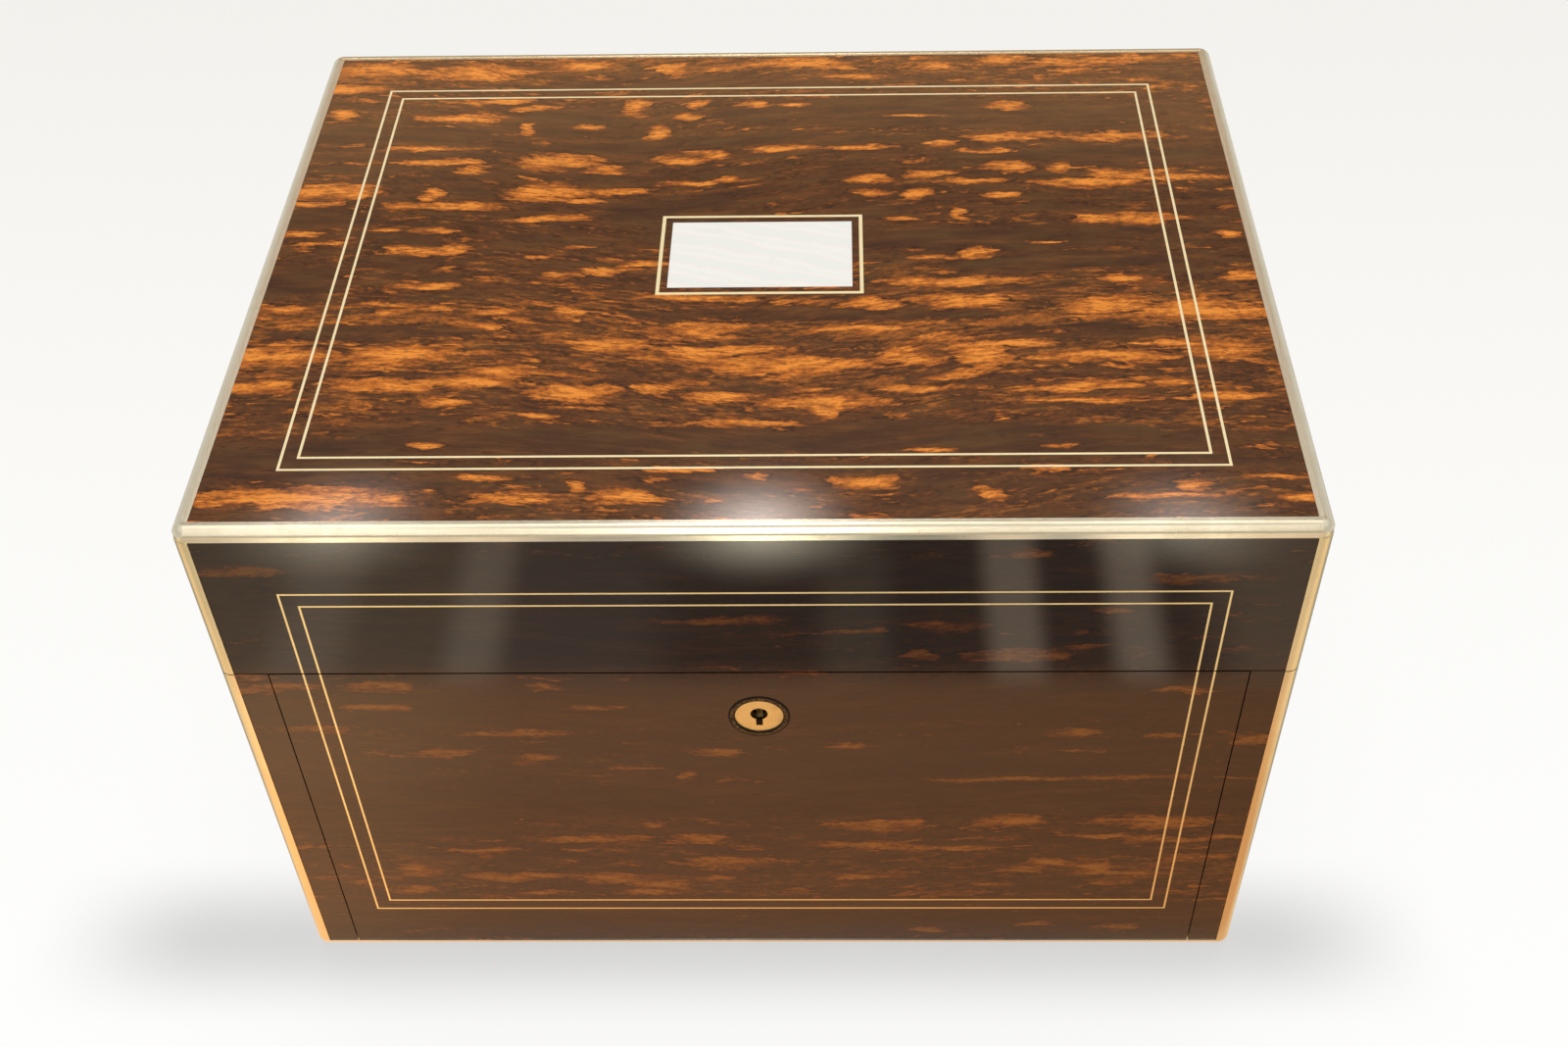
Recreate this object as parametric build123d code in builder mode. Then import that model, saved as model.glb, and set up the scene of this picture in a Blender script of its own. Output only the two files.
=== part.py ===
from build123d import *
import os
from math import radians, tan

# A brass-bound dressing box: a hinged lid with a mirror, a fall front over two drawers and a
# paper compartment, and bottle wells beside a lift-out tray. Sizes are in millimetres. The
# origin is the middle of the footprint, +Z is up and the front faces -Y.

os.makedirs("parts", exist_ok=True)

# Overall size and the seam between lid and base
width = 330.0
depth = 254.0
height = 215.5
seam_height = 153.5
seam_gap = 0.4

# Boards and skins of the case
case_side = 15.0
fall_thickness = 11.0
top_board = 9.0
veneer = 1.0
lining = 0.8
baize_thickness = 0.6

# Brass edges
brass_proud = 0.35
strip_size = 4.8
strip_round = 4.0
moulding_width = 4.7
moulding_height = 4.4
moulding_round = 3.2
moulding_crease = 2.2
moulding_flat_width = 1.2
moulding_flat_drop = 0.2
edging_width = 4.7
edging_height = 3.4
edging_round = 3.2

# Brass lines let into the veneer
top_line_width = 0.85
top_line_inset = 25.7
top_line_pitch = 5.1
front_line_width = 0.65
front_line_inset = 25.6
front_line_pitch = 5.2
front_line_low = 24.0
front_line_top_inset = 26.0

# Plaque and the brass line round it
plaque_width = 60.0
plaque_depth = 35.3
plaque_centre_y = 1.0
plaque_margin = 3.6
plaque_line_width = 1.2
plaque_thickness = 0.9

# Fall front
fall_side_gap = 0.4
fall_top_drop = 0.2
fall_back_gap = 0.5
fall_heel_round = 2.0
fall_lining_low = 16.0
fall_lining_top_drop = 41.1
fall_lining_inset = 8.6
pivot_plate_thickness = 1.6
pivot_plate_height = 20.0
pivot_plate_depth = 6.0
pivot_eye_radius = 1.8
pivot_pin_radius = 1.3
pivot_pin_length = 4.0
pivot_fit = 0.06

# Escutcheon and keyhole
escutcheon_drop = 21.0
escutcheon_radius = 9.75
escutcheon_hole_radius = 7.6
escutcheon_proud = 0.3
key_plate_sunk = 0.2
keyhole_radius = 2.65
keyhole_rise = 1.0
keyhole_slot_width = 2.1
keyhole_slot_drop = 5.6
key_pin_radius = 0.9

# Lock case in the fall and link plate in the lid
selvedge_half = 34.0
selvedge_thickness = 1.5
lock_half = 28.0
lock_front_skin = 1.45
lock_height = 33.0
lock_wall = 1.2
lock_shelf = 2.0
lock_shelf_drop = 13.6
link_half = 24.0
link_thickness = 1.5
lug_centre = 12.0
lug_width = 4.0
lug_depth = 4.4
lug_length = 8.1
lug_clear = 0.4
lug_window_width = 2.4
lug_window_height = 3.2
lug_window_low = 1.6
lug_floor_clear = 1.0

# Lock bolt
bolt_thickness = 1.6
bolt_spine = 2.4
bolt_seat_gap = 0.3
bolt_travel = 5.5
bolt_finger_length = 5.5
bolt_post_width = 2.0
bolt_tail_width = 4.0
bolt_tail_length = 4.5

# Hinges between lid and base
hinge_inset = 2.6
hinge_from_end = 70.0
hinge_length = 50.0
leaf_thickness = 1.2
leaf_reach = 10.0
knuckle_count = 5
knuckle_radius = 2.3
knuckle_clear = 0.3
knuckle_end_gap = 0.2
hinge_pin_radius = 1.2
hinge_pin_fit = 0.05
rear_bevel = 48.0

# Countersunk screws
screw_radius = 1.1
screw_head_radius = 2.2
screw_head_height = 1.2
screw_length = 9.0
screw_slot = 0.5
screw_fit = 0.05
screw_pitch = 18.0
screw_from_axis = 6.3
selvedge_screw_x = 31.0
link_screw_x = 19.5

# Inside of the base
paper_height = 31.6
shelf_thickness = 5.0
drawer_space = 39.0
well_floor_thickness = 4.0
inner_front_thickness = 4.0
inner_drop = 2.8
partition = 3.0
bottle_row_depth = 54.0
bottle_wells = 5
ledge_size = 6.0

# Lift-out tray
tray_height = 25.5
tray_gap = 0.8
tray_seat_gap = 0.3
tray_wall = 4.0
tray_floor = 3.0
tray_side_width = 90.0
pad_height = 15.0
pad_gap = 0.4
pad_roll = 18.0
pad_slit = 2.0

# Drawers
divider_thickness = 5.0
drawer_length = 158.0
drawer_recess = 9.0
drawer_side_gap = 0.5
drawer_seat_gap = 0.3
drawer_top_gap = 0.7
drawer_front = 7.0
drawer_wall = 4.0
drawer_floor = 3.0
knob_length = 8.0
knob_radius = 4.5
knob_neck_radius = 2.0
knob_stem_radius = 1.6
knob_stem_length = 5.0
knob_collar_radius = 3.2
knob_dome = 2.0

# Mirror in the lid
frame_gap = 0.2
frame_width = 24.0
frame_thickness = 8.0
frame_lip = 5.0
frame_bead = 1.5
mirror_thickness = 3.0
lining_edge_drop = 2.0

# Planes worked out from the sizes above
half_w = width / 2
half_d = depth / 2
base_top = seam_height - seam_gap / 2
lid_bottom = seam_height + seam_gap / 2
veneer_x = half_w - brass_proud
veneer_y = half_d - brass_proud
veneer_z = height - brass_proud
board_x = veneer_x - veneer
board_y = veneer_y - veneer
board_z = veneer_z - veneer
inner_x = half_w - case_side
inner_y = half_d - case_side
strip_x = half_w - strip_size
strip_y = half_d - strip_size
moulding_bottom = height - moulding_height
moulding_x = half_w - moulding_width
moulding_y = half_d - moulding_width
edging_top = baize_thickness + edging_height
edging_x = half_w - edging_width
edging_y = half_d - edging_width
ceiling = board_z - top_board
hinge_y = half_d - hinge_inset
hinge_centre = half_w - hinge_from_end

fall_half = inner_x - fall_side_gap
fall_top = base_top - fall_top_drop
fall_back = fall_thickness - half_d
pivot_y = edging_round - half_d
pivot_z = baize_thickness + edging_round
chest_front = fall_back + lining + fall_back_gap
floor_level = pivot_z + fall_back + lining - pivot_y

shelf_bottom = floor_level + paper_height
shelf_top = shelf_bottom + shelf_thickness
well_floor_bottom = shelf_top + drawer_space
well_floor_top = well_floor_bottom + well_floor_thickness
partition_top = base_top - inner_drop
inner_front_back = chest_front + inner_front_thickness
long_partition_back = inner_y - bottle_row_depth
long_partition_front = long_partition_back - partition
well_width = (2 * inner_x - (bottle_wells - 1) * partition) / bottle_wells

tray_x = inner_x - tray_gap
tray_front = inner_front_back + tray_gap
tray_back = long_partition_front - tray_gap
tray_bottom = partition_top - tray_height
tray_pocket_floor = tray_bottom + tray_floor
tray_left_x = tray_wall + tray_side_width - tray_x
tray_right_x = -tray_left_x
tray_middle_y = (tray_front + tray_back) / 2

drawer_front_y = chest_front + drawer_recess
drawer_back_y = drawer_front_y + drawer_length
drawer_inner_x = divider_thickness / 2 + drawer_side_gap
drawer_outer_x = inner_x - drawer_side_gap
drawer_bottom = shelf_top + drawer_seat_gap
drawer_top = well_floor_bottom - drawer_top_gap
knob_z = (drawer_bottom + drawer_top) / 2
knob_x = (drawer_inner_x + drawer_outer_x) / 2

front_line_half = half_w - front_line_inset
front_line_high = height - front_line_top_inset
escutcheon_height = fall_top - escutcheon_drop
keyhole_height = escutcheon_height + keyhole_rise
keyhole_slot_low = keyhole_height - keyhole_slot_drop
lock_shelf_height = fall_top - lock_shelf_drop
lock_front_y = lock_front_skin - board_y
lock_middle_y = (lock_front_y + fall_back) / 2
lock_bottom = fall_top - lock_height
lug_low = lid_bottom - lug_length
lug_slot_front = lock_middle_y - lug_depth / 2 - lug_clear
lug_window_bottom = lug_low + lug_window_low
bolt_bottom = lock_shelf_height + lock_shelf + bolt_seat_gap
bolt_finger_z = (
    lug_window_bottom + lug_clear,
    lug_window_bottom + lug_window_height - lug_clear,
)


def block(x_range, y_range, z_range, mode=Mode.ADD):
    """A rectangular piece between three pairs of planes, given in any order."""
    centre = [sum(pair) / 2 for pair in (x_range, y_range, z_range)]
    size = [abs(pair[1] - pair[0]) for pair in (x_range, y_range, z_range)]
    with Locations(tuple(centre)):
        Box(*size, mode=mode)


def write(piece, name):
    """Labels a finished piece and writes its file."""
    piece.part.label = name
    export_step(piece.part, f"parts/{name}.step")


def round_bar(x_range, y, z, radius, mode=Mode.ADD):
    """A round bar along X, centred on y and z."""
    with Locations(Location(((x_range[0] + x_range[1]) / 2, y, z), (0, 90, 0))):
        Cylinder(radius, abs(x_range[1] - x_range[0]), mode=mode)


def disc(radius, y_high, y_low, mode=Mode.ADD):
    """A disc on the escutcheon's centre, between two planes across Y."""
    with BuildSketch(Plane.XZ.offset(-y_high)) as face:
        with Locations((0, escutcheon_height)):
            Circle(radius)
    extrude(face.sketch, amount=y_high - y_low, mode=mode)


def cut_keyhole(y_high, y_low):
    """The keyhole, a round eye over a slot, cut between two planes across Y."""
    with BuildSketch(Plane.XZ.offset(-y_high)) as hole:
        with Locations((0, keyhole_height)):
            Circle(keyhole_radius)
        with Locations((0, (keyhole_height + keyhole_slot_low) / 2)):
            Rectangle(keyhole_slot_width, keyhole_height - keyhole_slot_low)
    extrude(hole.sketch, amount=y_high - y_low, mode=Mode.SUBTRACT)


def cut_corner_notches(fronts, z_range):
    """Room for the brass strips on the upright corners, at the front (-1) or the back (1)."""
    for front in fronts:
        for side in (-1, 1):
            block(
                (side * strip_x, side * half_w),
                (front * strip_y, front * half_d),
                z_range,
                Mode.SUBTRACT,
            )


def corner_strips(fronts, z_range):
    """Brass strips with a round outer corner, up the corners of the case."""
    for front in fronts:
        for side in (-1, 1):
            with BuildSketch(Plane.XY.offset(z_range[0])) as section:
                RectangleRounded(width, depth, strip_round)
                with Locations((side * (strip_x - half_w), 0)):
                    Rectangle(width, depth, mode=Mode.SUBTRACT)
                with Locations((0, front * (strip_y - half_d))):
                    Rectangle(width, depth, mode=Mode.SUBTRACT)
            extrude(section.sketch, amount=z_range[1] - z_range[0])


def cut_edging_rebate():
    """Room for the brass edging along the foot of the case."""
    for side in (-1, 1):
        block(
            (side * edging_x, side * half_w),
            (-half_d, half_d),
            (baize_thickness, edging_top),
            Mode.SUBTRACT,
        )
        block(
            (-half_w, half_w),
            (side * edging_y, side * half_d),
            (baize_thickness, edging_top),
            Mode.SUBTRACT,
        )


def cut_rear_groove():
    """Bevels the rear edges of lid and base, which meet and stop the lid when it is open."""
    rise = hinge_inset * tan(radians(rear_bevel))
    with BuildSketch(Plane.YZ.offset(-half_w)) as groove:
        with BuildLine():
            Polyline(
                (hinge_y, seam_height),
                (half_d, seam_height + rise),
                (half_d, seam_height - rise),
                close=True,
            )
        make_face()
    extrude(groove.sketch, amount=width, mode=Mode.SUBTRACT)


def hinge_span(centre):
    """The stretch along X that one hinge takes up."""
    return (centre - hinge_length / 2, centre + hinge_length / 2)


def leaf_z(upward):
    """The faces of a leaf of the lid (1) or the base (-1)."""
    face = seam_height + upward * seam_gap / 2
    return (face, face + upward * leaf_thickness)


def cut_hinge_beds(upward):
    """Beds for the leaves and a channel round the knuckles, in the lid (1) or the base (-1)."""
    for centre in (-hinge_centre, hinge_centre):
        block(hinge_span(centre), (hinge_y - leaf_reach, hinge_y), leaf_z(upward), Mode.SUBTRACT)
        round_bar(
            hinge_span(centre), hinge_y, seam_height, knuckle_radius + knuckle_clear, Mode.SUBTRACT
        )


def hinge_leaf(centre, upward, bore_radius):
    """One leaf with its share of the knuckles: the even ones on the base, the odd on the lid."""
    start = hinge_span(centre)[0]
    pitch = hinge_length / knuckle_count
    block(hinge_span(centre), (hinge_y - leaf_reach, hinge_y), leaf_z(upward))
    for index in range(knuckle_count):
        own = (index % 2 == 1) == (upward == 1)
        low = start + index * pitch
        if own:
            bar = (low + knuckle_end_gap / 2, low + pitch - knuckle_end_gap / 2)
            round_bar(bar, hinge_y, seam_height, knuckle_radius)
        else:
            room = (low - knuckle_end_gap / 4, low + pitch + knuckle_end_gap / 4)
            round_bar(room, hinge_y, seam_height, knuckle_radius + knuckle_clear, Mode.SUBTRACT)
    round_bar(hinge_span(centre), hinge_y, seam_height, bore_radius, Mode.SUBTRACT)


def hinge_screw_places(upward):
    """Where the screws of both hinges enter the leaves of the lid (1) or the base (-1)."""
    turn = (180, 0, 0) if upward == 1 else (0, 0, 0)
    face = seam_height + upward * seam_gap / 2
    return [
        Location((centre + step * screw_pitch, hinge_y - screw_from_axis, face), turn)
        for centre in (-hinge_centre, hinge_centre)
        for step in (-1, 0, 1)
    ]


def screw(place, grow=0.0, mode=Mode.ADD):
    """A countersunk screw with its head flush at a place, or the hole that it fills."""
    top = (Align.CENTER, Align.CENTER, Align.MAX)
    with Locations(place):
        Cylinder(screw_radius + grow, screw_length + grow, align=top, mode=mode)
        Cone(screw_radius + grow, screw_head_radius + grow, screw_head_height, align=top, mode=mode)
        if mode == Mode.ADD:
            Box(2 * screw_head_radius, screw_slot, screw_slot, align=top, mode=Mode.SUBTRACT)


def front_line(index, z_range, y_range, mode=Mode.ADD):
    """The part of one front line between two heights: two uprights, and a rail where it ends."""
    outer = front_line_half - index * front_line_pitch
    low = front_line_low + index * front_line_pitch
    high = front_line_high - index * front_line_pitch
    upright = (max(low, z_range[0]), min(high, z_range[1]))
    for side in (-1, 1):
        block((side * (outer - front_line_width), side * outer), y_range, upright, mode)
    if low >= z_range[0]:
        block((-outer, outer), y_range, (low, low + front_line_width), mode)
    if high <= z_range[1]:
        block((-outer, outer), y_range, (high - front_line_width, high), mode)


def flat_line(half_x, half_y, centre_y, line_width, z_range, mode=Mode.ADD):
    """A rectangular line in the top, given by its outer edges."""
    with BuildSketch(Plane.XY.offset(z_range[0])) as line:
        with Locations((0, centre_y)):
            Rectangle(2 * half_x, 2 * half_y)
            Rectangle(2 * (half_x - line_width), 2 * (half_y - line_width), mode=Mode.SUBTRACT)
    extrude(line.sketch, amount=z_range[1] - z_range[0], mode=mode)


def top_line(index, mode=Mode.ADD):
    """One of the two lines round the top."""
    inset = top_line_inset + index * top_line_pitch
    flat_line(half_w - inset, half_d - inset, 0, top_line_width, (board_z, veneer_z), mode)


def plaque_line(mode=Mode.ADD):
    """The line round the plaque."""
    half_x = plaque_width / 2 + plaque_margin
    half_y = plaque_depth / 2 + plaque_margin
    flat_line(half_x, half_y, plaque_centre_y, plaque_line_width, (board_z, veneer_z), mode)


def plaque_bed(mode):
    """The plaque's place in the top."""
    half_y = plaque_depth / 2
    block(
        (-plaque_width / 2, plaque_width / 2),
        (plaque_centre_y - half_y, plaque_centre_y + half_y),
        (board_z, board_z + plaque_thickness if mode == Mode.ADD else veneer_z),
        mode,
    )


def pivot_plate(side, mode=Mode.ADD):
    """A brass plate let into one end of the fall, round at the pivot."""
    ends = (side * (fall_half - pivot_plate_thickness), side * fall_half)
    round_bar(ends, pivot_y, pivot_z, pivot_eye_radius, mode)
    block(
        ends,
        (pivot_y - pivot_eye_radius, pivot_y - pivot_eye_radius + pivot_plate_depth),
        (pivot_z, pivot_z + pivot_plate_height),
        mode,
    )


def cut_pivot_socket(side):
    """The hole in the case that one pivot pin turns in."""
    socket = (side * (inner_x - fall_side_gap), side * (fall_half + pivot_pin_length + fall_side_gap))
    round_bar(socket, pivot_y, pivot_z, pivot_pin_radius + pivot_fit, Mode.SUBTRACT)


def lug_span(side, grow=0.0):
    """The stretch along X that one lug of the link plate takes up."""
    half = lug_width / 2 + grow
    return (side * lug_centre - half, side * lug_centre + half)


def selvedge_screw_places():
    """Where the two screws of the lock enter its top plate."""
    return [Location((side * selvedge_screw_x, lock_middle_y, fall_top)) for side in (-1, 1)]


def link_screw_places():
    """Where the two screws of the link plate enter it from below."""
    return [
        Location((side * link_screw_x, lock_middle_y, lid_bottom), (180, 0, 0)) for side in (-1, 1)
    ]


# Base: boards
with BuildPart() as baize:
    block(
        (-edging_x, edging_x),
        (chest_front, edging_y),
        (0, baize_thickness),
    )
write(baize, "baize")

with BuildPart() as bottom_board:
    block(
        (-inner_x, inner_x),
        (chest_front, inner_y),
        (baize_thickness, floor_level - lining),
    )
write(bottom_board, "bottom_board")

with BuildPart() as base_side_walls:
    for side in (-1, 1):
        block((side * inner_x, side * board_x), (-board_y, inner_y), (baize_thickness, base_top))
        cut_pivot_socket(side)
    cut_corner_notches((-1,), (edging_top, base_top))
    cut_edging_rebate()
write(base_side_walls, "base_side_walls")

with BuildPart() as back_wall:
    block((-board_x, board_x), (inner_y, board_y), (baize_thickness, base_top))
    cut_corner_notches((1,), (edging_top, base_top))
    cut_edging_rebate()
    cut_rear_groove()
    cut_hinge_beds(-1)
    for place in hinge_screw_places(-1):
        screw(place, screw_fit, Mode.SUBTRACT)
write(back_wall, "base_back_wall")

# Base: veneers
with BuildPart() as base_side_veneers:
    for side in (-1, 1):
        block((side * board_x, side * veneer_x), (-strip_y, strip_y), (edging_top, base_top))
write(base_side_veneers, "base_side_veneers")

with BuildPart() as back_veneer:
    block((-strip_x, strip_x), (board_y, veneer_y), (edging_top, base_top))
    cut_rear_groove()
    cut_hinge_beds(-1)
write(back_veneer, "base_back_veneer")

with BuildPart() as stile_veneers:
    for side in (-1, 1):
        block((side * inner_x, side * strip_x), (-veneer_y, -board_y), (edging_top, base_top))
write(stile_veneers, "stile_veneers")

# Base: brass
with BuildPart() as base_corner_strips:
    corner_strips((-1, 1), (edging_top, base_top))
    cut_rear_groove()
write(base_corner_strips, "base_corner_strips")

with BuildPart() as edging_ring:
    with BuildSketch(Plane.XY.offset(baize_thickness)):
        RectangleRounded(width, depth, strip_round)
        Rectangle(width - 2 * edging_width, depth - 2 * edging_width, mode=Mode.SUBTRACT)
    extrude(amount=edging_height)
    fillet(edging_ring.faces().sort_by(Axis.Z)[0].outer_wire().edges(), edging_round)

with BuildPart() as base_edging:
    add(edging_ring.part)
    block((-inner_x, inner_x), (-half_d, -edging_y), (baize_thickness, edging_top), Mode.SUBTRACT)
    for side in (-1, 1):
        cut_pivot_socket(side)
write(base_edging, "base_edging")

# Base: inside
with BuildPart() as drawer_shelf:
    block((-inner_x, inner_x), (chest_front, inner_y), (shelf_bottom, shelf_top))
write(drawer_shelf, "drawer_shelf")

with BuildPart() as drawer_divider:
    block(
        (-divider_thickness / 2, divider_thickness / 2),
        (chest_front, inner_y),
        (shelf_top, well_floor_bottom),
    )
write(drawer_divider, "drawer_divider")

with BuildPart() as well_floor:
    block((-inner_x, inner_x), (chest_front, inner_y), (well_floor_bottom, well_floor_top))
write(well_floor, "well_floor")

with BuildPart() as inner_front:
    block((-inner_x, inner_x), (chest_front, inner_front_back), (well_floor_top, partition_top))
write(inner_front, "inner_front")

with BuildPart() as long_partition:
    block(
        (-inner_x, inner_x),
        (long_partition_front, long_partition_back),
        (well_floor_top, partition_top),
    )
write(long_partition, "long_partition")

with BuildPart() as bottle_partitions:
    for index in range(1, bottle_wells):
        left_face = index * (well_width + partition) - partition - inner_x
        block(
            (left_face, left_face + partition),
            (long_partition_back, inner_y),
            (well_floor_top, partition_top),
        )
write(bottle_partitions, "bottle_partitions")

with BuildPart() as tray_ledges:
    for side in (-1, 1):
        block(
            (side * (inner_x - ledge_size), side * inner_x),
            (inner_front_back, long_partition_front),
            (tray_bottom - tray_seat_gap - ledge_size, tray_bottom - tray_seat_gap),
        )
write(tray_ledges, "tray_ledges")

with BuildPart() as paper_lining:
    block((-inner_x, inner_x), (chest_front, inner_y), (floor_level - lining, floor_level))
write(paper_lining, "paper_lining")

with BuildPart() as jewel_well_lining:
    block(
        (-inner_x, inner_x),
        (inner_front_back, long_partition_front),
        (well_floor_top, well_floor_top + lining),
    )
write(jewel_well_lining, "jewel_well_lining")

# Hinges
with BuildPart() as base_hinge_leaves:
    for centre in (-hinge_centre, hinge_centre):
        hinge_leaf(centre, -1, hinge_pin_radius)
    for place in hinge_screw_places(-1):
        screw(place, screw_fit, Mode.SUBTRACT)
write(base_hinge_leaves, "base_hinge_leaves")

with BuildPart() as lid_hinge_leaves:
    for centre in (-hinge_centre, hinge_centre):
        hinge_leaf(centre, 1, hinge_pin_radius + hinge_pin_fit)
    for place in hinge_screw_places(1):
        screw(place, screw_fit, Mode.SUBTRACT)
write(lid_hinge_leaves, "lid_hinge_leaves")

with BuildPart() as hinge_pins:
    for centre in (-hinge_centre, hinge_centre):
        round_bar(hinge_span(centre), hinge_y, seam_height, hinge_pin_radius)
write(hinge_pins, "hinge_pins")

with BuildPart() as base_hinge_screws:
    for place in hinge_screw_places(-1):
        screw(place)
write(base_hinge_screws, "base_hinge_screws")

# Fall front
with BuildPart() as fall_panel:
    block((-fall_half, fall_half), (-board_y, fall_back), (baize_thickness, fall_top))
    heel = fall_panel.edges().filter_by(Axis.X).group_by(Axis.Z)[0].sort_by(Axis.Y)[-1]
    fillet(heel, fall_heel_round)
    block((-fall_half, fall_half), (-half_d, -edging_y), (baize_thickness, edging_top), Mode.SUBTRACT)
    for side in (-1, 1):
        pivot_plate(side, Mode.SUBTRACT)
    block((-lock_half, lock_half), (lock_front_y, fall_back), (lock_bottom, fall_top), Mode.SUBTRACT)
    block(
        (-selvedge_half, selvedge_half),
        (lock_front_y, fall_back),
        (fall_top - selvedge_thickness, fall_top),
        Mode.SUBTRACT,
    )
    for place in selvedge_screw_places():
        screw(place, screw_fit, Mode.SUBTRACT)
    cut_keyhole(lock_front_y, -board_y)
write(fall_panel, "fall_panel")

with BuildPart() as fall_veneer:
    block((-fall_half, fall_half), (-veneer_y, -board_y), (edging_top, fall_top))
    for index in (0, 1):
        front_line(index, (edging_top, fall_top), (-veneer_y, -board_y), Mode.SUBTRACT)
    disc(escutcheon_radius, -board_y, -veneer_y, Mode.SUBTRACT)
write(fall_veneer, "fall_veneer")

with BuildPart() as fall_lines:
    for index in (0, 1):
        front_line(index, (edging_top, fall_top), (-veneer_y, -board_y))
write(fall_lines, "fall_lines")

with BuildPart() as fall_edging:
    add(edging_ring.part)
    block((-fall_half, fall_half), (-half_d, -edging_y), (baize_thickness, edging_top), Mode.INTERSECT)
    for side in (-1, 1):
        pivot_plate(side, Mode.SUBTRACT)
write(fall_edging, "fall_edging")

with BuildPart() as fall_lining:
    block(
        (fall_lining_inset - fall_half, fall_half - fall_lining_inset),
        (fall_back, fall_back + lining),
        (fall_lining_low, fall_top - fall_lining_top_drop),
    )
write(fall_lining, "fall_lining")

with BuildPart() as pivot_plates:
    for side in (-1, 1):
        pivot_plate(side)
        round_bar(
            (side * (fall_half - pivot_plate_thickness), side * (fall_half + pivot_pin_length)),
            pivot_y,
            pivot_z,
            pivot_pin_radius,
        )
write(pivot_plates, "pivot_plates")

with BuildPart() as escutcheon_ring:
    disc(escutcheon_radius, -board_y, -veneer_y - escutcheon_proud)
    disc(escutcheon_hole_radius, -board_y, -veneer_y - escutcheon_proud, Mode.SUBTRACT)
    fillet(escutcheon_ring.faces().sort_by(Axis.Y)[0].edges(), escutcheon_proud)
write(escutcheon_ring, "escutcheon_ring")

with BuildPart() as keyhole_plate:
    disc(escutcheon_hole_radius, -board_y, -veneer_y + key_plate_sunk)
    cut_keyhole(-board_y, -veneer_y)
write(keyhole_plate, "keyhole_plate")

# Lock
with BuildPart() as lock_case:
    block((-lock_half, lock_half), (lock_front_y, fall_back), (lock_bottom, fall_top))
    block(
        (-selvedge_half, selvedge_half),
        (lock_front_y, fall_back),
        (fall_top - selvedge_thickness, fall_top),
    )
    for low, high in (
        (lock_bottom + lock_wall, lock_shelf_height),
        (lock_shelf_height + lock_shelf, fall_top - selvedge_thickness),
    ):
        block(
            (lock_wall - lock_half, lock_half - lock_wall),
            (lock_front_y + lock_wall, fall_back - lock_wall),
            (low, high),
            Mode.SUBTRACT,
        )
    # The bolt's tail passes the shelf, and the lugs come and go at the top and the back.
    block(
        (-bolt_tail_width - bolt_travel, bolt_tail_width + bolt_travel),
        (lock_middle_y - bolt_thickness / 2 - lug_clear, lock_middle_y + bolt_thickness / 2 + lug_clear),
        (lock_shelf_height, lock_shelf_height + lock_shelf),
        Mode.SUBTRACT,
    )
    for side in (-1, 1):
        block(
            lug_span(side, lug_clear),
            (lug_slot_front, fall_back),
            (lug_low - lug_floor_clear, fall_top),
            Mode.SUBTRACT,
        )
    cut_keyhole(lock_front_y + lock_wall, lock_front_y)
    with BuildSketch(Plane.XZ.offset(lock_wall - fall_back)) as key_pin:
        with Locations((0, keyhole_height)):
            Circle(key_pin_radius)
    extrude(key_pin.sketch, amount=fall_back - lock_wall - lock_front_y)
    for place in selvedge_screw_places():
        screw(place, screw_fit, Mode.SUBTRACT)
write(lock_case, "lock_case")

with BuildPart() as lock_screws:
    for place in selvedge_screw_places():
        screw(place)
write(lock_screws, "lock_screws")

with BuildPart() as lock_bolt:
    bolt_y = (lock_middle_y - bolt_thickness / 2, lock_middle_y + bolt_thickness / 2)
    tips = [lug_span(side)[0] - lug_clear for side in (-1, 1)]
    for tip in tips:
        root = tip - bolt_finger_length
        block((root, tip), bolt_y, bolt_finger_z)
        block((root - bolt_post_width, root), bolt_y, (bolt_bottom, bolt_finger_z[1]))
    block(
        (tips[0] - bolt_finger_length - bolt_post_width, tips[1] - bolt_finger_length),
        bolt_y,
        (bolt_bottom, bolt_bottom + bolt_spine),
    )
    block(
        (-bolt_tail_width - bolt_travel / 2, -bolt_travel / 2),
        bolt_y,
        (bolt_bottom - bolt_tail_length, bolt_bottom),
    )
write(lock_bolt, "lock_bolt")

# Lid: boards
with BuildPart() as lid_top_board:
    block((-board_x, board_x), (-board_y, board_y), (ceiling, moulding_bottom))
    cut_corner_notches((-1, 1), (ceiling, moulding_bottom))
    block((-moulding_x, moulding_x), (-moulding_y, moulding_y), (moulding_bottom, board_z))
write(lid_top_board, "lid_top_board")

with BuildPart() as lid_front_wall:
    block((-board_x, board_x), (-board_y, -inner_y), (lid_bottom, ceiling))
    cut_corner_notches((-1,), (lid_bottom, ceiling))
    block(
        (-link_half, link_half),
        (lock_front_y, fall_back),
        (lid_bottom, lid_bottom + link_thickness),
        Mode.SUBTRACT,
    )
    for place in link_screw_places():
        screw(place, screw_fit, Mode.SUBTRACT)
write(lid_front_wall, "lid_front_wall")

with BuildPart() as lid_back_wall:
    block((-board_x, board_x), (inner_y, board_y), (lid_bottom, ceiling))
    cut_corner_notches((1,), (lid_bottom, ceiling))
    cut_rear_groove()
    cut_hinge_beds(1)
    for place in hinge_screw_places(1):
        screw(place, screw_fit, Mode.SUBTRACT)
write(lid_back_wall, "lid_back_wall")

with BuildPart() as lid_side_walls:
    for side in (-1, 1):
        block((side * inner_x, side * board_x), (-inner_y, inner_y), (lid_bottom, ceiling))
write(lid_side_walls, "lid_side_walls")

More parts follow.
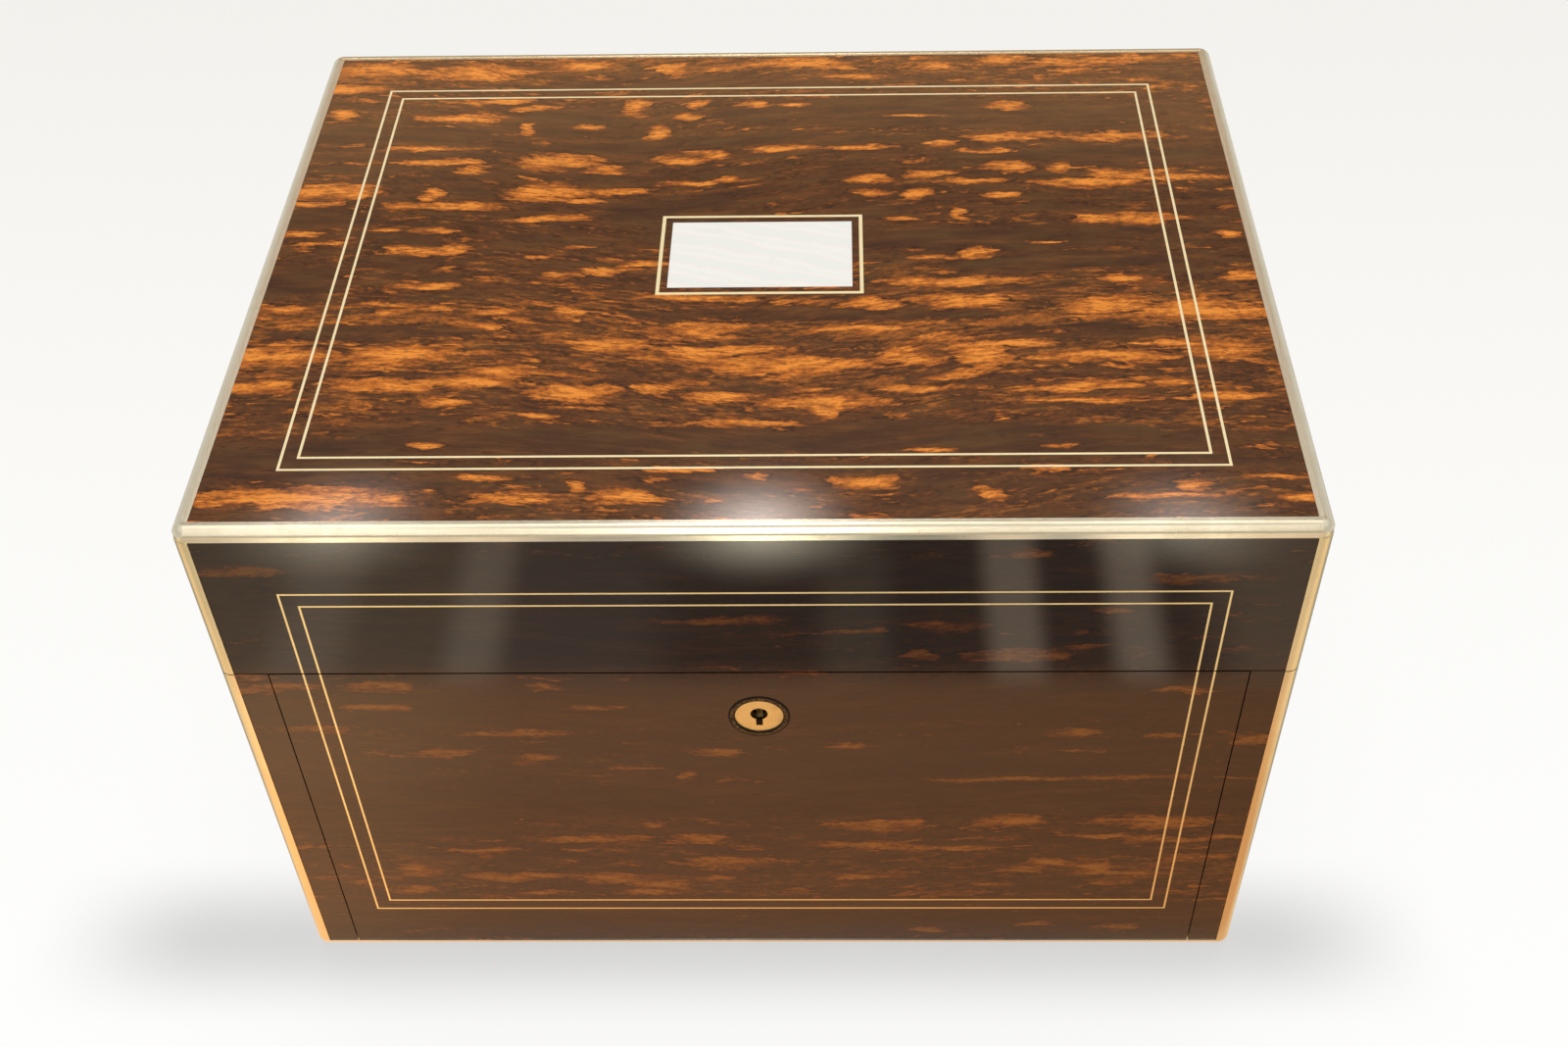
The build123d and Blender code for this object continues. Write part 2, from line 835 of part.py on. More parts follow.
# Lid: veneers
with BuildPart() as lid_top_veneer:
    block((-moulding_x, moulding_x), (-moulding_y, moulding_y), (board_z, veneer_z))
    for index in (0, 1):
        top_line(index, Mode.SUBTRACT)
    plaque_line(Mode.SUBTRACT)
    plaque_bed(Mode.SUBTRACT)
write(lid_top_veneer, "lid_top_veneer")

with BuildPart() as lid_front_veneer:
    block((-strip_x, strip_x), (-veneer_y, -board_y), (lid_bottom, moulding_bottom))
    for index in (0, 1):
        front_line(index, (lid_bottom, moulding_bottom), (-veneer_y, -board_y), Mode.SUBTRACT)
write(lid_front_veneer, "lid_front_veneer")

with BuildPart() as lid_back_veneer:
    block((-strip_x, strip_x), (board_y, veneer_y), (lid_bottom, moulding_bottom))
    cut_rear_groove()
    cut_hinge_beds(1)
write(lid_back_veneer, "lid_back_veneer")

with BuildPart() as lid_side_veneers:
    for side in (-1, 1):
        block((side * board_x, side * veneer_x), (-strip_y, strip_y), (lid_bottom, moulding_bottom))
write(lid_side_veneers, "lid_side_veneers")

# Lid: brass and plaque
with BuildPart() as moulding_ring:
    with BuildSketch(Plane.XY.offset(moulding_bottom)):
        RectangleRounded(width, depth, strip_round)
        Rectangle(2 * moulding_x, 2 * moulding_y, mode=Mode.SUBTRACT)
    extrude(amount=moulding_height)
    fillet(moulding_ring.faces().sort_by(Axis.Z)[-1].outer_wire().edges(), moulding_round)
    # The band under the crease stands back to the veneer.
    with BuildSketch(Plane.XY.offset(moulding_bottom)):
        RectangleRounded(width, depth, strip_round)
        RectangleRounded(2 * veneer_x, 2 * veneer_y, strip_round - brass_proud, mode=Mode.SUBTRACT)
    extrude(amount=moulding_height - moulding_crease, mode=Mode.SUBTRACT)
    # A narrow flat runs beside the top veneer.
    with BuildSketch(Plane.XY.offset(height - moulding_flat_drop)):
        Rectangle(2 * (moulding_x + moulding_flat_width), 2 * (moulding_y + moulding_flat_width))
    extrude(amount=moulding_flat_drop, mode=Mode.SUBTRACT)

with BuildPart() as lid_long_mouldings:
    add(moulding_ring.part)
    block((-half_w, half_w), (-moulding_y, moulding_y), (moulding_bottom, height), Mode.SUBTRACT)
write(lid_long_mouldings, "lid_long_mouldings")

with BuildPart() as lid_short_mouldings:
    add(moulding_ring.part)
    for front in (-1, 1):
        block(
            (-half_w, half_w),
            (front * moulding_y, front * half_d),
            (moulding_bottom, height),
            Mode.SUBTRACT,
        )
write(lid_short_mouldings, "lid_short_mouldings")

with BuildPart() as lid_corner_strips:
    corner_strips((-1, 1), (lid_bottom, moulding_bottom))
    cut_rear_groove()
write(lid_corner_strips, "lid_corner_strips")

with BuildPart() as lid_top_lines:
    for index in (0, 1):
        top_line(index)
write(lid_top_lines, "lid_top_lines")

with BuildPart() as lid_front_lines:
    for index in (0, 1):
        front_line(index, (lid_bottom, moulding_bottom), (-veneer_y, -board_y))
write(lid_front_lines, "lid_front_lines")

with BuildPart() as plaque_border:
    plaque_line()
write(plaque_border, "plaque_border")

with BuildPart() as plaque:
    plaque_bed(Mode.ADD)
write(plaque, "plaque")

# Lid: link plate, screws, lining and mirror
with BuildPart() as link_plate:
    block(
        (-link_half, link_half),
        (lock_front_y, fall_back),
        (lid_bottom, lid_bottom + link_thickness),
    )
    for side in (-1, 1):
        block(
            lug_span(side),
            (lock_middle_y - lug_depth / 2, lock_middle_y + lug_depth / 2),
            (lug_low, lid_bottom),
        )
        block(
            lug_span(side),
            (lock_middle_y - lug_window_width / 2, lock_middle_y + lug_window_width / 2),
            (lug_window_bottom, lug_window_bottom + lug_window_height),
            Mode.SUBTRACT,
        )
    for place in link_screw_places():
        screw(place, screw_fit, Mode.SUBTRACT)
write(link_plate, "link_plate")

with BuildPart() as lid_screws:
    for place in hinge_screw_places(1) + link_screw_places():
        screw(place)
write(lid_screws, "lid_screws")

with BuildPart() as lid_lining:
    with BuildSketch(Plane.XY.offset(lid_bottom + lining_edge_drop)):
        Rectangle(2 * inner_x, 2 * inner_y)
        Rectangle(2 * (inner_x - lining), 2 * (inner_y - lining), mode=Mode.SUBTRACT)
    extrude(amount=ceiling - lid_bottom - lining_edge_drop)
write(lid_lining, "lid_lining")

frame_x = inner_x - lining - frame_gap
frame_y = inner_y - lining - frame_gap
sight_x = frame_x - frame_width
sight_y = frame_y - frame_width
mirror_x = sight_x + frame_lip
mirror_y = sight_y + frame_lip

with BuildPart() as mirror_frame:
    block((-frame_x, frame_x), (-frame_y, frame_y), (ceiling - frame_thickness, ceiling))
    block((-sight_x, sight_x), (-sight_y, sight_y), (ceiling - frame_thickness, ceiling), Mode.SUBTRACT)
    chamfer(mirror_frame.faces().sort_by(Axis.Z)[0].edges(), frame_bead)
    block(
        (-mirror_x, mirror_x),
        (-mirror_y, mirror_y),
        (ceiling - mirror_thickness, ceiling),
        Mode.SUBTRACT,
    )
write(mirror_frame, "mirror_frame")

with BuildPart() as mirror_glass:
    block((-mirror_x, mirror_x), (-mirror_y, mirror_y), (ceiling - mirror_thickness, ceiling))
write(mirror_glass, "mirror_glass")

# Lift-out tray
left_pocket = (tray_wall - tray_x, tray_left_x)
middle_pocket = (tray_left_x + partition, tray_right_x - partition)
right_pocket = (tray_right_x, tray_x - tray_wall)
pocket_front = tray_front + tray_wall
pocket_back = tray_back - tray_wall

with BuildPart() as tray:
    block((-tray_x, tray_x), (tray_front, tray_back), (tray_bottom, partition_top))
    for pocket_x, pocket_y in (
        (left_pocket, (pocket_front, pocket_back)),
        (middle_pocket, (pocket_front, pocket_back)),
        (right_pocket, (pocket_front, tray_middle_y - partition / 2)),
        (right_pocket, (tray_middle_y + partition / 2, pocket_back)),
    ):
        block(pocket_x, pocket_y, (tray_pocket_floor, partition_top), Mode.SUBTRACT)
write(tray, "tray")

with BuildPart() as ring_pad:
    pad_low = pocket_front + pad_gap
    pad_high = pocket_back - pad_gap
    block(
        (left_pocket[0] + pad_gap, left_pocket[1] - pad_gap),
        (pad_low, pad_high),
        (tray_pocket_floor, tray_pocket_floor + pad_height),
    )
    for step in range(1, int((pad_high - pad_low) // pad_roll)):
        block(
            left_pocket,
            (pad_low + step * pad_roll - pad_slit / 2, pad_low + step * pad_roll + pad_slit / 2),
            (tray_pocket_floor + pad_height / 2, tray_pocket_floor + pad_height),
            Mode.SUBTRACT,
        )
write(ring_pad, "ring_pad")

# Drawers
knob_dome_radius = (knob_radius**2 + knob_dome**2) / (2 * knob_dome)

for side, side_name in ((-1, "left"), (1, "right")):
    knob_face = Plane(
        origin=(side * knob_x, drawer_front_y, knob_z), x_dir=(1, 0, 0), z_dir=(0, 0, 1)
    )
    with BuildPart() as drawer:
        block(
            (side * drawer_inner_x, side * drawer_outer_x),
            (drawer_front_y, drawer_back_y),
            (drawer_bottom, drawer_top),
        )
        block(
            (side * (drawer_inner_x + drawer_wall), side * (drawer_outer_x - drawer_wall)),
            (drawer_front_y + drawer_front, drawer_back_y - drawer_wall),
            (drawer_bottom + drawer_floor, drawer_top),
            Mode.SUBTRACT,
        )
        with Locations(Location((side * knob_x, drawer_front_y, knob_z), (90, 0, 0))):
            Cylinder(
                knob_stem_radius,
                knob_stem_length,
                align=(Align.CENTER, Align.CENTER, Align.MAX),
                mode=Mode.SUBTRACT,
            )
    write(drawer, f"{side_name}_drawer")

    with BuildPart() as knob:
        with BuildSketch(knob_face):
            with BuildLine():
                stem = Polyline(
                    (0, knob_stem_length),
                    (knob_stem_radius, knob_stem_length),
                    (knob_stem_radius, 0),
                    (knob_collar_radius, 0),
                    (knob_neck_radius, -knob_length / 4),
                    (knob_neck_radius, -knob_length / 2),
                    (knob_radius, knob_dome - knob_length),
                )
                cap = RadiusArc(stem @ 1, (0, -knob_length), knob_dome_radius)
                Line(cap @ 1, stem @ 0)
            make_face()
        revolve(axis=Axis((side * knob_x, drawer_front_y, knob_z), (0, 1, 0)))
    write(knob, f"{side_name}_drawer_knob")
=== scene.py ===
import functools
import logging
import math
from collections.abc import Callable
from dataclasses import dataclass
from typing import Any

import bmesh
import bpy
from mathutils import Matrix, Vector


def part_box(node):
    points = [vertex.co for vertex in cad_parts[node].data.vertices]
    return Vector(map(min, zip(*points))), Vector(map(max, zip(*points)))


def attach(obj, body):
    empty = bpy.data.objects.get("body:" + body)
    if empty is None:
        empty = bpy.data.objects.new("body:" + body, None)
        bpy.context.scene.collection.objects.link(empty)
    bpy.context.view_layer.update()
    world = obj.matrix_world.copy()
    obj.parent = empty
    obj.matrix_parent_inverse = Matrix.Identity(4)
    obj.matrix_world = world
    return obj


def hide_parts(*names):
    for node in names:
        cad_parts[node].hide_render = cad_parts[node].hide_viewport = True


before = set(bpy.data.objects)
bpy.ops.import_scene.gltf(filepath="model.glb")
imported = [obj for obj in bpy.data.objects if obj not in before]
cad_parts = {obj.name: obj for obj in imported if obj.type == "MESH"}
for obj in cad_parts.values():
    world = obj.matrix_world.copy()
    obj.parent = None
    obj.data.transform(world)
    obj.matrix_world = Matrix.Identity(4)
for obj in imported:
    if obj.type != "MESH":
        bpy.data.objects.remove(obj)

log = logging.getLogger("dressing_box")

MM = 0.001
UP = (0.0, 0.0, 1.0)
DOWN = (0.0, 0.0, -1.0)

# Places on the box that several classes use, in millimetres
HINGE_CENTRE = 95.0
HINGE_SCREW_PITCH = 18.0
HINGE_SCREW_Y = 118.1
LOCK_SCREW_Y = -120.1
MIRROR_HALF_X = 125.0
MIRROR_HALF_Y = 87.0
KEYHOLE_EYE = (0.0, 0.0, 133.1)
KEYHOLE_PLATE_BACK = (-117.0, -116.5)

# How many radians the two ripples of a lining turn along its run and its rise
RIPPLES = ((17.3, 5.1), (3.9, 13.7))

# The axes across and along a veneered face
LEVEL_FACE = (0, 1)
UPRIGHT_FACE = (0, 2)
END_FACE = (1, 2)

Triple = tuple[float, float, float]
Grain = Triple | float
Levels = tuple[tuple[float, float], ...]
Stops = tuple[tuple[float, Triple], ...]
Spot = tuple[float, float, float, float]
Zone = tuple[Triple, Triple]
Settings = dict[str, Any]
Inputs = dict[str | int, Any]


# Shader and geometry maths


class Graph:
    """A node tree that is written as calls and sums."""

    def __init__(self, tree: bpy.types.NodeTree) -> None:
        """Starts writing into a tree."""
        self.tree = tree

    def feed(self, socket: bpy.types.NodeSocket, value: Any) -> None:
        """Gives a socket a link or a plain value.

        Args:
            socket: The input to fill.
            value: A Value to link, or a number, colour, vector or data block.
        """
        if isinstance(value, Value):
            self.tree.links.new(value.socket, socket)
        elif socket.type == "RGBA" and len(value) == 3:
            socket.default_value = (*value, 1.0)
        else:
            socket.default_value = value

    def fill(self, node: bpy.types.Node, inputs: Inputs) -> None:
        """Gives several inputs of a node their links or plain values, by name or number."""
        for key, value in inputs.items():
            self.feed(node.inputs[key], value)

    def node(
        self,
        kind: str,
        settings: Settings | None = None,
        inputs: Inputs | None = None,
    ) -> bpy.types.Node:
        """Adds a node.

        Args:
            kind: The node's type.
            settings: Its own properties, set first. "stops" holds a ramp's places and colours.
            inputs: What each input gets, by name or number.

        Returns:
            The new node.
        """
        made = self.tree.nodes.new(kind)
        for name, value in (settings or {}).items():
            if name == "stops":
                self.set_stops(made.color_ramp, value)
            else:
                setattr(made, name, value)
        self.fill(made, inputs or {})
        return made

    @staticmethod
    def set_stops(ramp: bpy.types.ColorRamp, stops: Levels | Stops) -> None:
        """Sets the places and colours of a ramp.

        Args:
            ramp: The ramp to set.
            stops: Pairs of a place from 0 to 1 and a grey or a colour.
        """
        while len(ramp.elements) < len(stops):
            ramp.elements.new(1.0)
        for element, (place, tone) in zip(ramp.elements, stops):
            element.position = place
            element.color = (*tone, 1.0) if isinstance(tone, tuple) else (tone, tone, tone, 1.0)

    def value(self, kind: str, settings: Settings, inputs: Inputs, out: str | int = 0) -> "Value":
        """Adds a node and returns one of its outputs as a number."""
        return Value(self, self.node(kind, settings, inputs).outputs[out])

    def place(self, kind: str, settings: Settings, inputs: Inputs, out: str | int = 0) -> "Place":
        """Adds a node and returns one of its outputs as a vector."""
        return Place(self, self.node(kind, settings, inputs).outputs[out])

    def coordinates(self) -> "Place":
        """Returns the point of the object in millimetres."""
        return self.place("ShaderNodeTexCoord", {}, {}, "Object").scaled(1 / MM)

    def join(self, x: Any, y: Any, z: Any = 0.0) -> "Place":
        """Makes a vector of three numbers."""
        return self.place("ShaderNodeCombineXYZ", {}, {0: x, 1: y, 2: z})

    @staticmethod
    def shares(grain: Grain) -> Triple:
        """Returns what a point is multiplied by to count it in grains."""
        sizes = grain if isinstance(grain, tuple) else (grain, grain, grain)
        return tuple(1 / size for size in sizes)

    def noise(self, point: "Place", grain: Grain, detail: float = 2.0, roughness: float = 0.5) -> "Value":
        """Adds a noise pattern.

        Args:
            point: Where it is read, in millimetres.
            grain: The size of its grain, or its sizes along the axes, in millimetres.
            detail: How many finer layers it has.
            roughness: How strong the finer layers are.

        Returns:
            The noise, around 0.5.
        """
        scaled = point * self.shares(grain)
        inputs = {"Vector": scaled, "Scale": 1.0, "Detail": detail, "Roughness": roughness}
        return self.value("ShaderNodeTexNoise", {"noise_dimensions": "3D"}, inputs)

    def bend(self, point: "Place", grain: Grain, reach: Triple, detail: float = 2.0) -> "Place":
        """Pushes a point about by noise.

        Args:
            point: The point, in millimetres.
            grain: The size of the noise's grain, or its sizes along the axes, in millimetres.
            reach: How far it may push along each axis, in millimetres.
            detail: How many finer layers the noise has.

        Returns:
            The moved point.
        """
        inputs = {"Vector": point * self.shares(grain), "Scale": 1.0, "Detail": detail}
        push = self.place("ShaderNodeTexNoise", {"noise_dimensions": "3D"}, inputs, 1)
        return point + (push - (0.5, 0.5, 0.5)) * tuple(2 * far for far in reach)

    def ramp(self, amount: Any, stops: Levels | Stops) -> "Tint":
        """Adds a colour ramp.

        Args:
            amount: Where along the ramp to read, from 0 to 1.
            stops: Pairs of a place and a grey or a colour.

        Returns:
            The colour.
        """
        return Tint(self, self.node("ShaderNodeValToRGB", {"stops": stops}, {0: amount}).outputs[0])

    def mix(self, factor: Any, first: Any, second: Any, blend: str = "MIX") -> "Tint":
        """Mixes two colours.

        Args:
            factor: How much of the second colour there is.
            first: The colour at 0.
            second: The colour at 1.
            blend: The way that the second goes on the first.

        Returns:
            The mixed colour.
        """
        settings = {"data_type": "RGBA", "blend_type": blend, "clamp_factor": True}
        return Tint(self, self.node("ShaderNodeMix", settings, {0: factor, 6: first, 7: second}).outputs[2])

    def bump(self, height: "Value", strength: float, distance: float) -> "Place":
        """Turns a height into a normal.

        Args:
            height: The height pattern.
            strength: How much of it shows, from 0 to 1.
            distance: How high a height of 1 is, in millimetres.

        Returns:
            The bumped normal.
        """
        inputs = {"Strength": strength, "Distance": distance * MM, "Height": height}
        return self.place("ShaderNodeBump", {}, inputs)

    def coat(self, surface: bpy.types.Node, colour: Any, roughness: Any, normal: Any, others: Inputs) -> None:
        """Fills a surface shader.

        Args:
            surface: The shader.
            colour: Its colour.
            roughness: Its roughness.
            normal: Its normal.
            others: Its other inputs, by name.
        """
        self.fill(surface, {"Base Color": colour, "Roughness": roughness, "Normal": normal, **others})


class Value:
    """A number that a node gives, used in sums like a plain number."""

    def __init__(self, graph: Graph, socket: bpy.types.NodeSocket) -> None:
        """Wraps an output of a node."""
        self.graph = graph
        self.socket = socket

    def sum(self, operation: str, *terms: Any) -> "Value":
        """Adds a Math node on these terms."""
        return self.graph.value("ShaderNodeMath", {"operation": operation}, dict(enumerate(terms)))

    def __add__(self, other: Any) -> "Value":
        """self + other"""
        return self.sum("ADD", self, other)

    def __radd__(self, other: Any) -> "Value":
        """other + self"""
        return self.sum("ADD", other, self)

    def __sub__(self, other: Any) -> "Value":
        """self - other"""
        return self.sum("SUBTRACT", self, other)

    def __rsub__(self, other: Any) -> "Value":
        """other - self"""
        return self.sum("SUBTRACT", other, self)

    def __mul__(self, other: Any) -> "Value":
        """self * other"""
        return self.sum("MULTIPLY", self, other)

    def __rmul__(self, other: Any) -> "Value":
        """other * self"""
        return self.sum("MULTIPLY", other, self)

    def __truediv__(self, other: Any) -> "Value":
        """self / other"""
        return self.sum("DIVIDE", self, other)

    def __abs__(self) -> "Value":
        """abs(self)"""
        return self.sum("ABSOLUTE", self)

    def least(self, other: Any) -> "Value":
        """Returns the smaller of the two."""
        return self.sum("MINIMUM", self, other)

    def most(self, other: Any) -> "Value":
        """Returns the larger of the two."""
        return self.sum("MAXIMUM", self, other)

    def wave(self) -> "Value":
        """Returns the sine."""
        return self.sum("SINE", self)

    def clamped(self) -> "Value":
        """Returns the number kept between 0 and 1."""
        return self.graph.value("ShaderNodeClamp", {}, {0: self})

    def step(self, low: float, high: float) -> "Value":
        """Returns 0 below low and 1 above high, with a smooth rise between."""
        settings = {"interpolation_type": "SMOOTHSTEP"}
        return self.graph.value("ShaderNodeMapRange", settings, {0: self, 1: low, 2: high})

    def within(self, centre: float, half: float, soft: float) -> "Value":
        """Returns 1 near a centre and 0 beyond half its width, with a soft edge."""
        return 1 - abs(self - centre).step(half - soft, half + soft)


class Place(Value):
    """A vector that a node gives."""

    def vector(self, operation: str, *terms: Any) -> "Place":
        """Adds a Vector Math node on these terms."""
        return self.graph.place("ShaderNodeVectorMath", {"operation": operation}, dict(enumerate(terms)))

    def __add__(self, other: Any) -> "Place":
        """self + other"""
        return self.vector("ADD", self, other)

    def __sub__(self, other: Any) -> "Place":
        """self - other"""
        return self.vector("SUBTRACT", self, other)

    def __mul__(self, other: Any) -> "Place":
        """self * other, part by part"""
        return self.vector("MULTIPLY", self, other)

    def scaled(self, amount: Any) -> "Place":
        """Returns the vector times a number."""
        return self.graph.place("ShaderNodeVectorMath", {"operation": "SCALE"}, {0: self, 3: amount})

    def length(self) -> Value:
        """Returns the length."""
        return self.graph.value("ShaderNodeVectorMath", {"operation": "LENGTH"}, {0: self}, 1)

    def far(self, centre: Triple, sizes: Triple) -> Value:
        """Returns the distance from a centre, counted in the sizes of an oval."""
        shares = tuple(1 / size for size in sizes)
        shift = tuple(-spot * share for spot, share in zip(centre, shares))
        return self.vector("MULTIPLY_ADD", self, shares, shift).length()

    def part(self, axis: int) -> Value:
        """Returns one of the three numbers."""
        return self.graph.value("ShaderNodeSeparateXYZ", {}, {0: self}, axis)


class Tint(Value):
    """A colour that a node gives."""

    def over(self, other: Any, factor: Any) -> "Tint":
        """Returns this colour with another laid over it."""
        return self.graph.mix(factor, self, other)

    def shaded(self, amount: Any) -> "Tint":
        """Returns this colour times a grey level."""
        return self.graph.mix(1.0, self, self.graph.join(amount, amount, amount), "MULTIPLY")


# Finishes


@functools.cache
def material_of(finish: "Finish") -> bpy.types.Material:
    """Returns the material of a finish, made the first time that it is asked for."""
    made = bpy.data.materials.new(finish.title())
    made.use_nodes = True
    made.node_tree.nodes.clear()
    graph = Graph(made.node_tree)
    surface = graph.node("ShaderNodeBsdfPrincipled")
    graph.node("ShaderNodeOutputMaterial", {}, {0: Value(graph, surface.outputs[0])})
    finish.dress(graph, surface)
    return made


@dataclass(frozen=True)
class Finish:
    """What all finishes share."""

    label: str

    def title(self) -> str:
        """Returns the name of the material."""
        return f"{self.label}_finish"

    def dress(self, graph: Graph, surface: bpy.types.Node) -> None:
        """Fills the surface shader. Each finish has its own way."""
        raise NotImplementedError


# Ovals in the wood, listed one by one: the two coordinates of the middle, half the length and half the height

TOP_SPOTS: tuple[Spot, ...] = (
    (-145, 116, 16, 5), (-108, 113, 22, 5.5), (-70, 117, 12, 3), (-35, 113, 5, 5), (15, 117, 20, 4),
    (30, 108, 9, 2), (62, 114, 7, 2.5), (88, 119, 9, 2.5), (120, 117, 24, 3), (112, 111, 8, 2),
    (-155, 102, 14, 3), (-49, 89, 5.5, 5), (-25, 90, 4, 3), (-100, 94, 16, 1.8), (-85, 88, 7, 2),
    (-110, 82, 15, 2.5), (-155, 86, 6, 3), (-28, 82, 4, 3), (-4, 90, 4, 2), (10, 89, 6, 1.2),
    (-85, 75, 3, 4), (-65, 76, 5, 1.8), (-38, 73, 4, 4.5), (87, 88, 8, 2.5), (52, 81, 11, 1),
    (-120, 63, 16, 1.8), (5, 62, 14, 2), (32, 62, 12, 1.8), (62, 64, 5, 2), (86, 68, 15, 2.5),
    (122, 67, 22, 2.2), (76, 60, 11, 1.2), (-73, 55, 15, 4.5), (-115, 55, 13, 2), (-55, 50, 7, 2.5),
    (-103, 50, 6, 3), (-31, 54, 9, 3), (-17, 58, 7, 3), (57, 46, 7, 2.5), (85, 49, 8, 4), (103, 49, 5, 3),
    (126, 44, 16, 3), (-150, 38, 16, 4.5), (-115, 35, 4.5, 4), (-76, 36, 13, 5.5), (-52, 36, 13, 2),
    (-25, 41, 9, 1.8), (-12, 43, 6, 2.2), (36, 43, 9, 2.5), (70, 41, 13, 1.3), (113, 40, 18, 2.6),
    (143, 42, 16, 2.4), (38, 35, 8, 1.8), (-62, 31, 7, 1.3), (-105, 29, 16, 2.3), (-122, 29, 8, 2.5),
    (53, 34, 5, 2.6), (80, 33, 6, 1.3), (-152, 31, 7, 1.3), (-70, 22, 13, 1.8), (-111, 15, 7, 1.6),
    (-127, 15, 5, 1.4), (-155, 14, 6, 1.8), (112, 19, 9, 2.2), (131, 19, 10, 2.8), (67, 22, 2.6, 3),
    (45, 20, 6, 1.3), (156, 10, 4, 2), (-146, 8, 9, 1.2), (95, 6, 7, 0.8), (-112, 4, 15, 2.3),
    (-104, 5, 6, 3.3), (-72, 0, 4.5, 1.1), (-60, 6, 7, 0.9), (71, 1, 5.5, 2.8), (56, -1, 11, 1),
    (-50, -7, 10, 2.3), (-65, -10, 7, 1.8), (-38, -4, 9, 1.4), (62, -14, 20, 2.3), (118, -13, 7, 1.4),
    (-107, -15, 10, 1.8), (156, -13, 9, 2.8), (-20, -22, 20, 1.8), (37, -25, 7.5, 4.2), (65, -24, 14, 3.8),
    (112, -27, 15, 4), (141, -30, 24, 4.8), (-150, -27, 11, 2.2), (-62, -29, 7, 2.8), (-85, -28, 7, 1.7),
    (-88, -36, 5, 1.8), (-119, -28, 7, 1.8), (-20, -38, 14, 3.6), (32, -38, 16, 1.4), (-152, -50, 24, 4.4),
    (-112, -50, 18, 4.2), (-78, -58, 11, 3), (-48, -45, 11, 3.4), (-20, -50, 15, 3.5), (10, -56, 28, 4.2),
    (-5, -48, 12, 2.4), (47, -51, 10, 4.5), (70, -52, 8, 6), (76, -46, 16, 1.7), (106, -52, 22, 2.3),
    (131, -46, 14, 1.4), (145, -51, 11, 2.8), (-155, -64, 14, 2.3), (-112, -64, 15, 3.4), (-88, -62, 13, 3),
    (-95, -72, 7, 1.8), (-55, -68, 13, 4), (-30, -66, 9, 2.4), (-10, -70, 9, 3), (20, -73, 20, 3.8),
    (20, -77, 4.5, 4), (46, -66, 9, 1.8), (62, -60, 9, 2.8), (98, -66, 20, 1.8), (98, -72, 16, 1.3),
    (126, -64, 9, 1.6), (141, -71, 14, 1.3), (-4, -82, 16, 1.8), (-65, -78, 6, 1.3), (90, -92, 5, 1.3),
    (52, -94, 7, 1.2), (-98, -91, 6, 1.2), (-132, -113, 32, 4.4), (-68, -113, 14, 3), (-37, -113, 9, 3.6),
    (-22, -102, 11, 1.4), (-78, -105, 7, 1.5), (-50, -107, 3, 2), (32, -107, 9, 3), (68, -112, 4.5, 2.6),
    (127, -109, 4.5, 3), (150, -106, 9, 1.1), (120, -113, 16, 1.1), (85, -101, 7, 1.3), (4, -105, 5, 1.4),
    (156, -115, 6, 1.4),
)

TOP_CALM: tuple[Spot, ...] = (
    (62, 84, 84, 9), (-72, 80, 24, 8), (8, 67, 38, 3), (72, 9, 62, 6), (-60, -89, 62, 7), (62, -89, 78, 7),
    (-132, -98, 30, 8), (-132, 72, 30, 5), (-152, 22, 16, 6), (100, -4, 50, 4), (-30, 103, 60, 4),
    (-30, 24, 22, 8), (20, -31, 60, 3), (110, -40, 30, 4), (-150, -12, 16, 8), (-60, 62, 30, 3),
    (110, 56, 46, 4), (-120, -38, 36, 4),
)

FRONT_CALM: tuple[Spot, ...] = (
    (0, 190, 150, 12), (-80, 172, 60, 16), (0, 140, 170, 8), (0, 88, 160, 9), (0, 20, 170, 10),
    (-120, 80, 40, 12), (40, 108, 60, 7),
)

FRONT_SPOTS: tuple[Spot, ...] = (
    (125, 195, 11, 2.4), (80, 206, 6, 2), (-10, 177, 20, 1.8), (30, 172, 9, 1.8), (57, 175, 10, 2.4),
    (50, 162, 4, 2), (80, 161, 16, 2.8), (105, 181, 6, 1.3), (100, 164, 7, 1.3), (-150, 199, 15, 1.8),
    (-155, 152, 8, 1.6), (-150, 147, 15, 2.4), (-116, 147, 9, 2.8), (-65, 147, 6, 1.4), (132, 144, 7, 1.4),
    (-118, 137, 10, 1.8), (-50, 137, 8, 1.4), (-142, 126, 10, 1.9), (-75, 124, 14, 1.4),
    (-102, 114, 10, 2.4), (-72, 112, 7, 1.7), (-13, 114, 8, 2.4), (30, 117, 7, 1.8), (100, 123, 10, 2.4),
    (155, 120, 8, 3), (128, 121, 7, 1.4), (-43, 105, 7, 0.9), (-26, 102, 3.5, 1.8), (82, 99, 30, 1.1),
    (117, 100, 20, 1.4), (-37, 75, 4.5, 1.8), (38, 74, 18, 3.4), (82, 76, 13, 2.8), (132, 76, 20, 4),
    (110, 68, 11, 1.4), (152, 67, 9, 1.4), (-60, 66, 20, 2.3), (-22, 67, 10, 1.9), (-92, 60, 16, 1.4),
    (35, 63, 18, 2.4), (60, 61, 16, 1.9), (130, 66, 11, 1.9), (-12, 53, 18, 2.4), (95, 52, 9, 2),
    (110, 50, 9, 3), (88, 48, 9, 2.3), (120, 46, 20, 1.4), (146, 55, 11, 2.8), (-122, 48, 8, 4),
    (-88, 44, 16, 2.4), (-125, 36, 9, 2), (-52, 43, 18, 3), (-37, 39, 11, 3.6), (-19, 43, 7, 1.9),
    (35, 44, 13, 1.4), (-80, 34, 11, 1.4), (-40, 34, 9, 1.9), (55, 11, 5.5, 1.9), (123, 12, 10, 2.4),
    (95, 13, 9, 1.3),
)


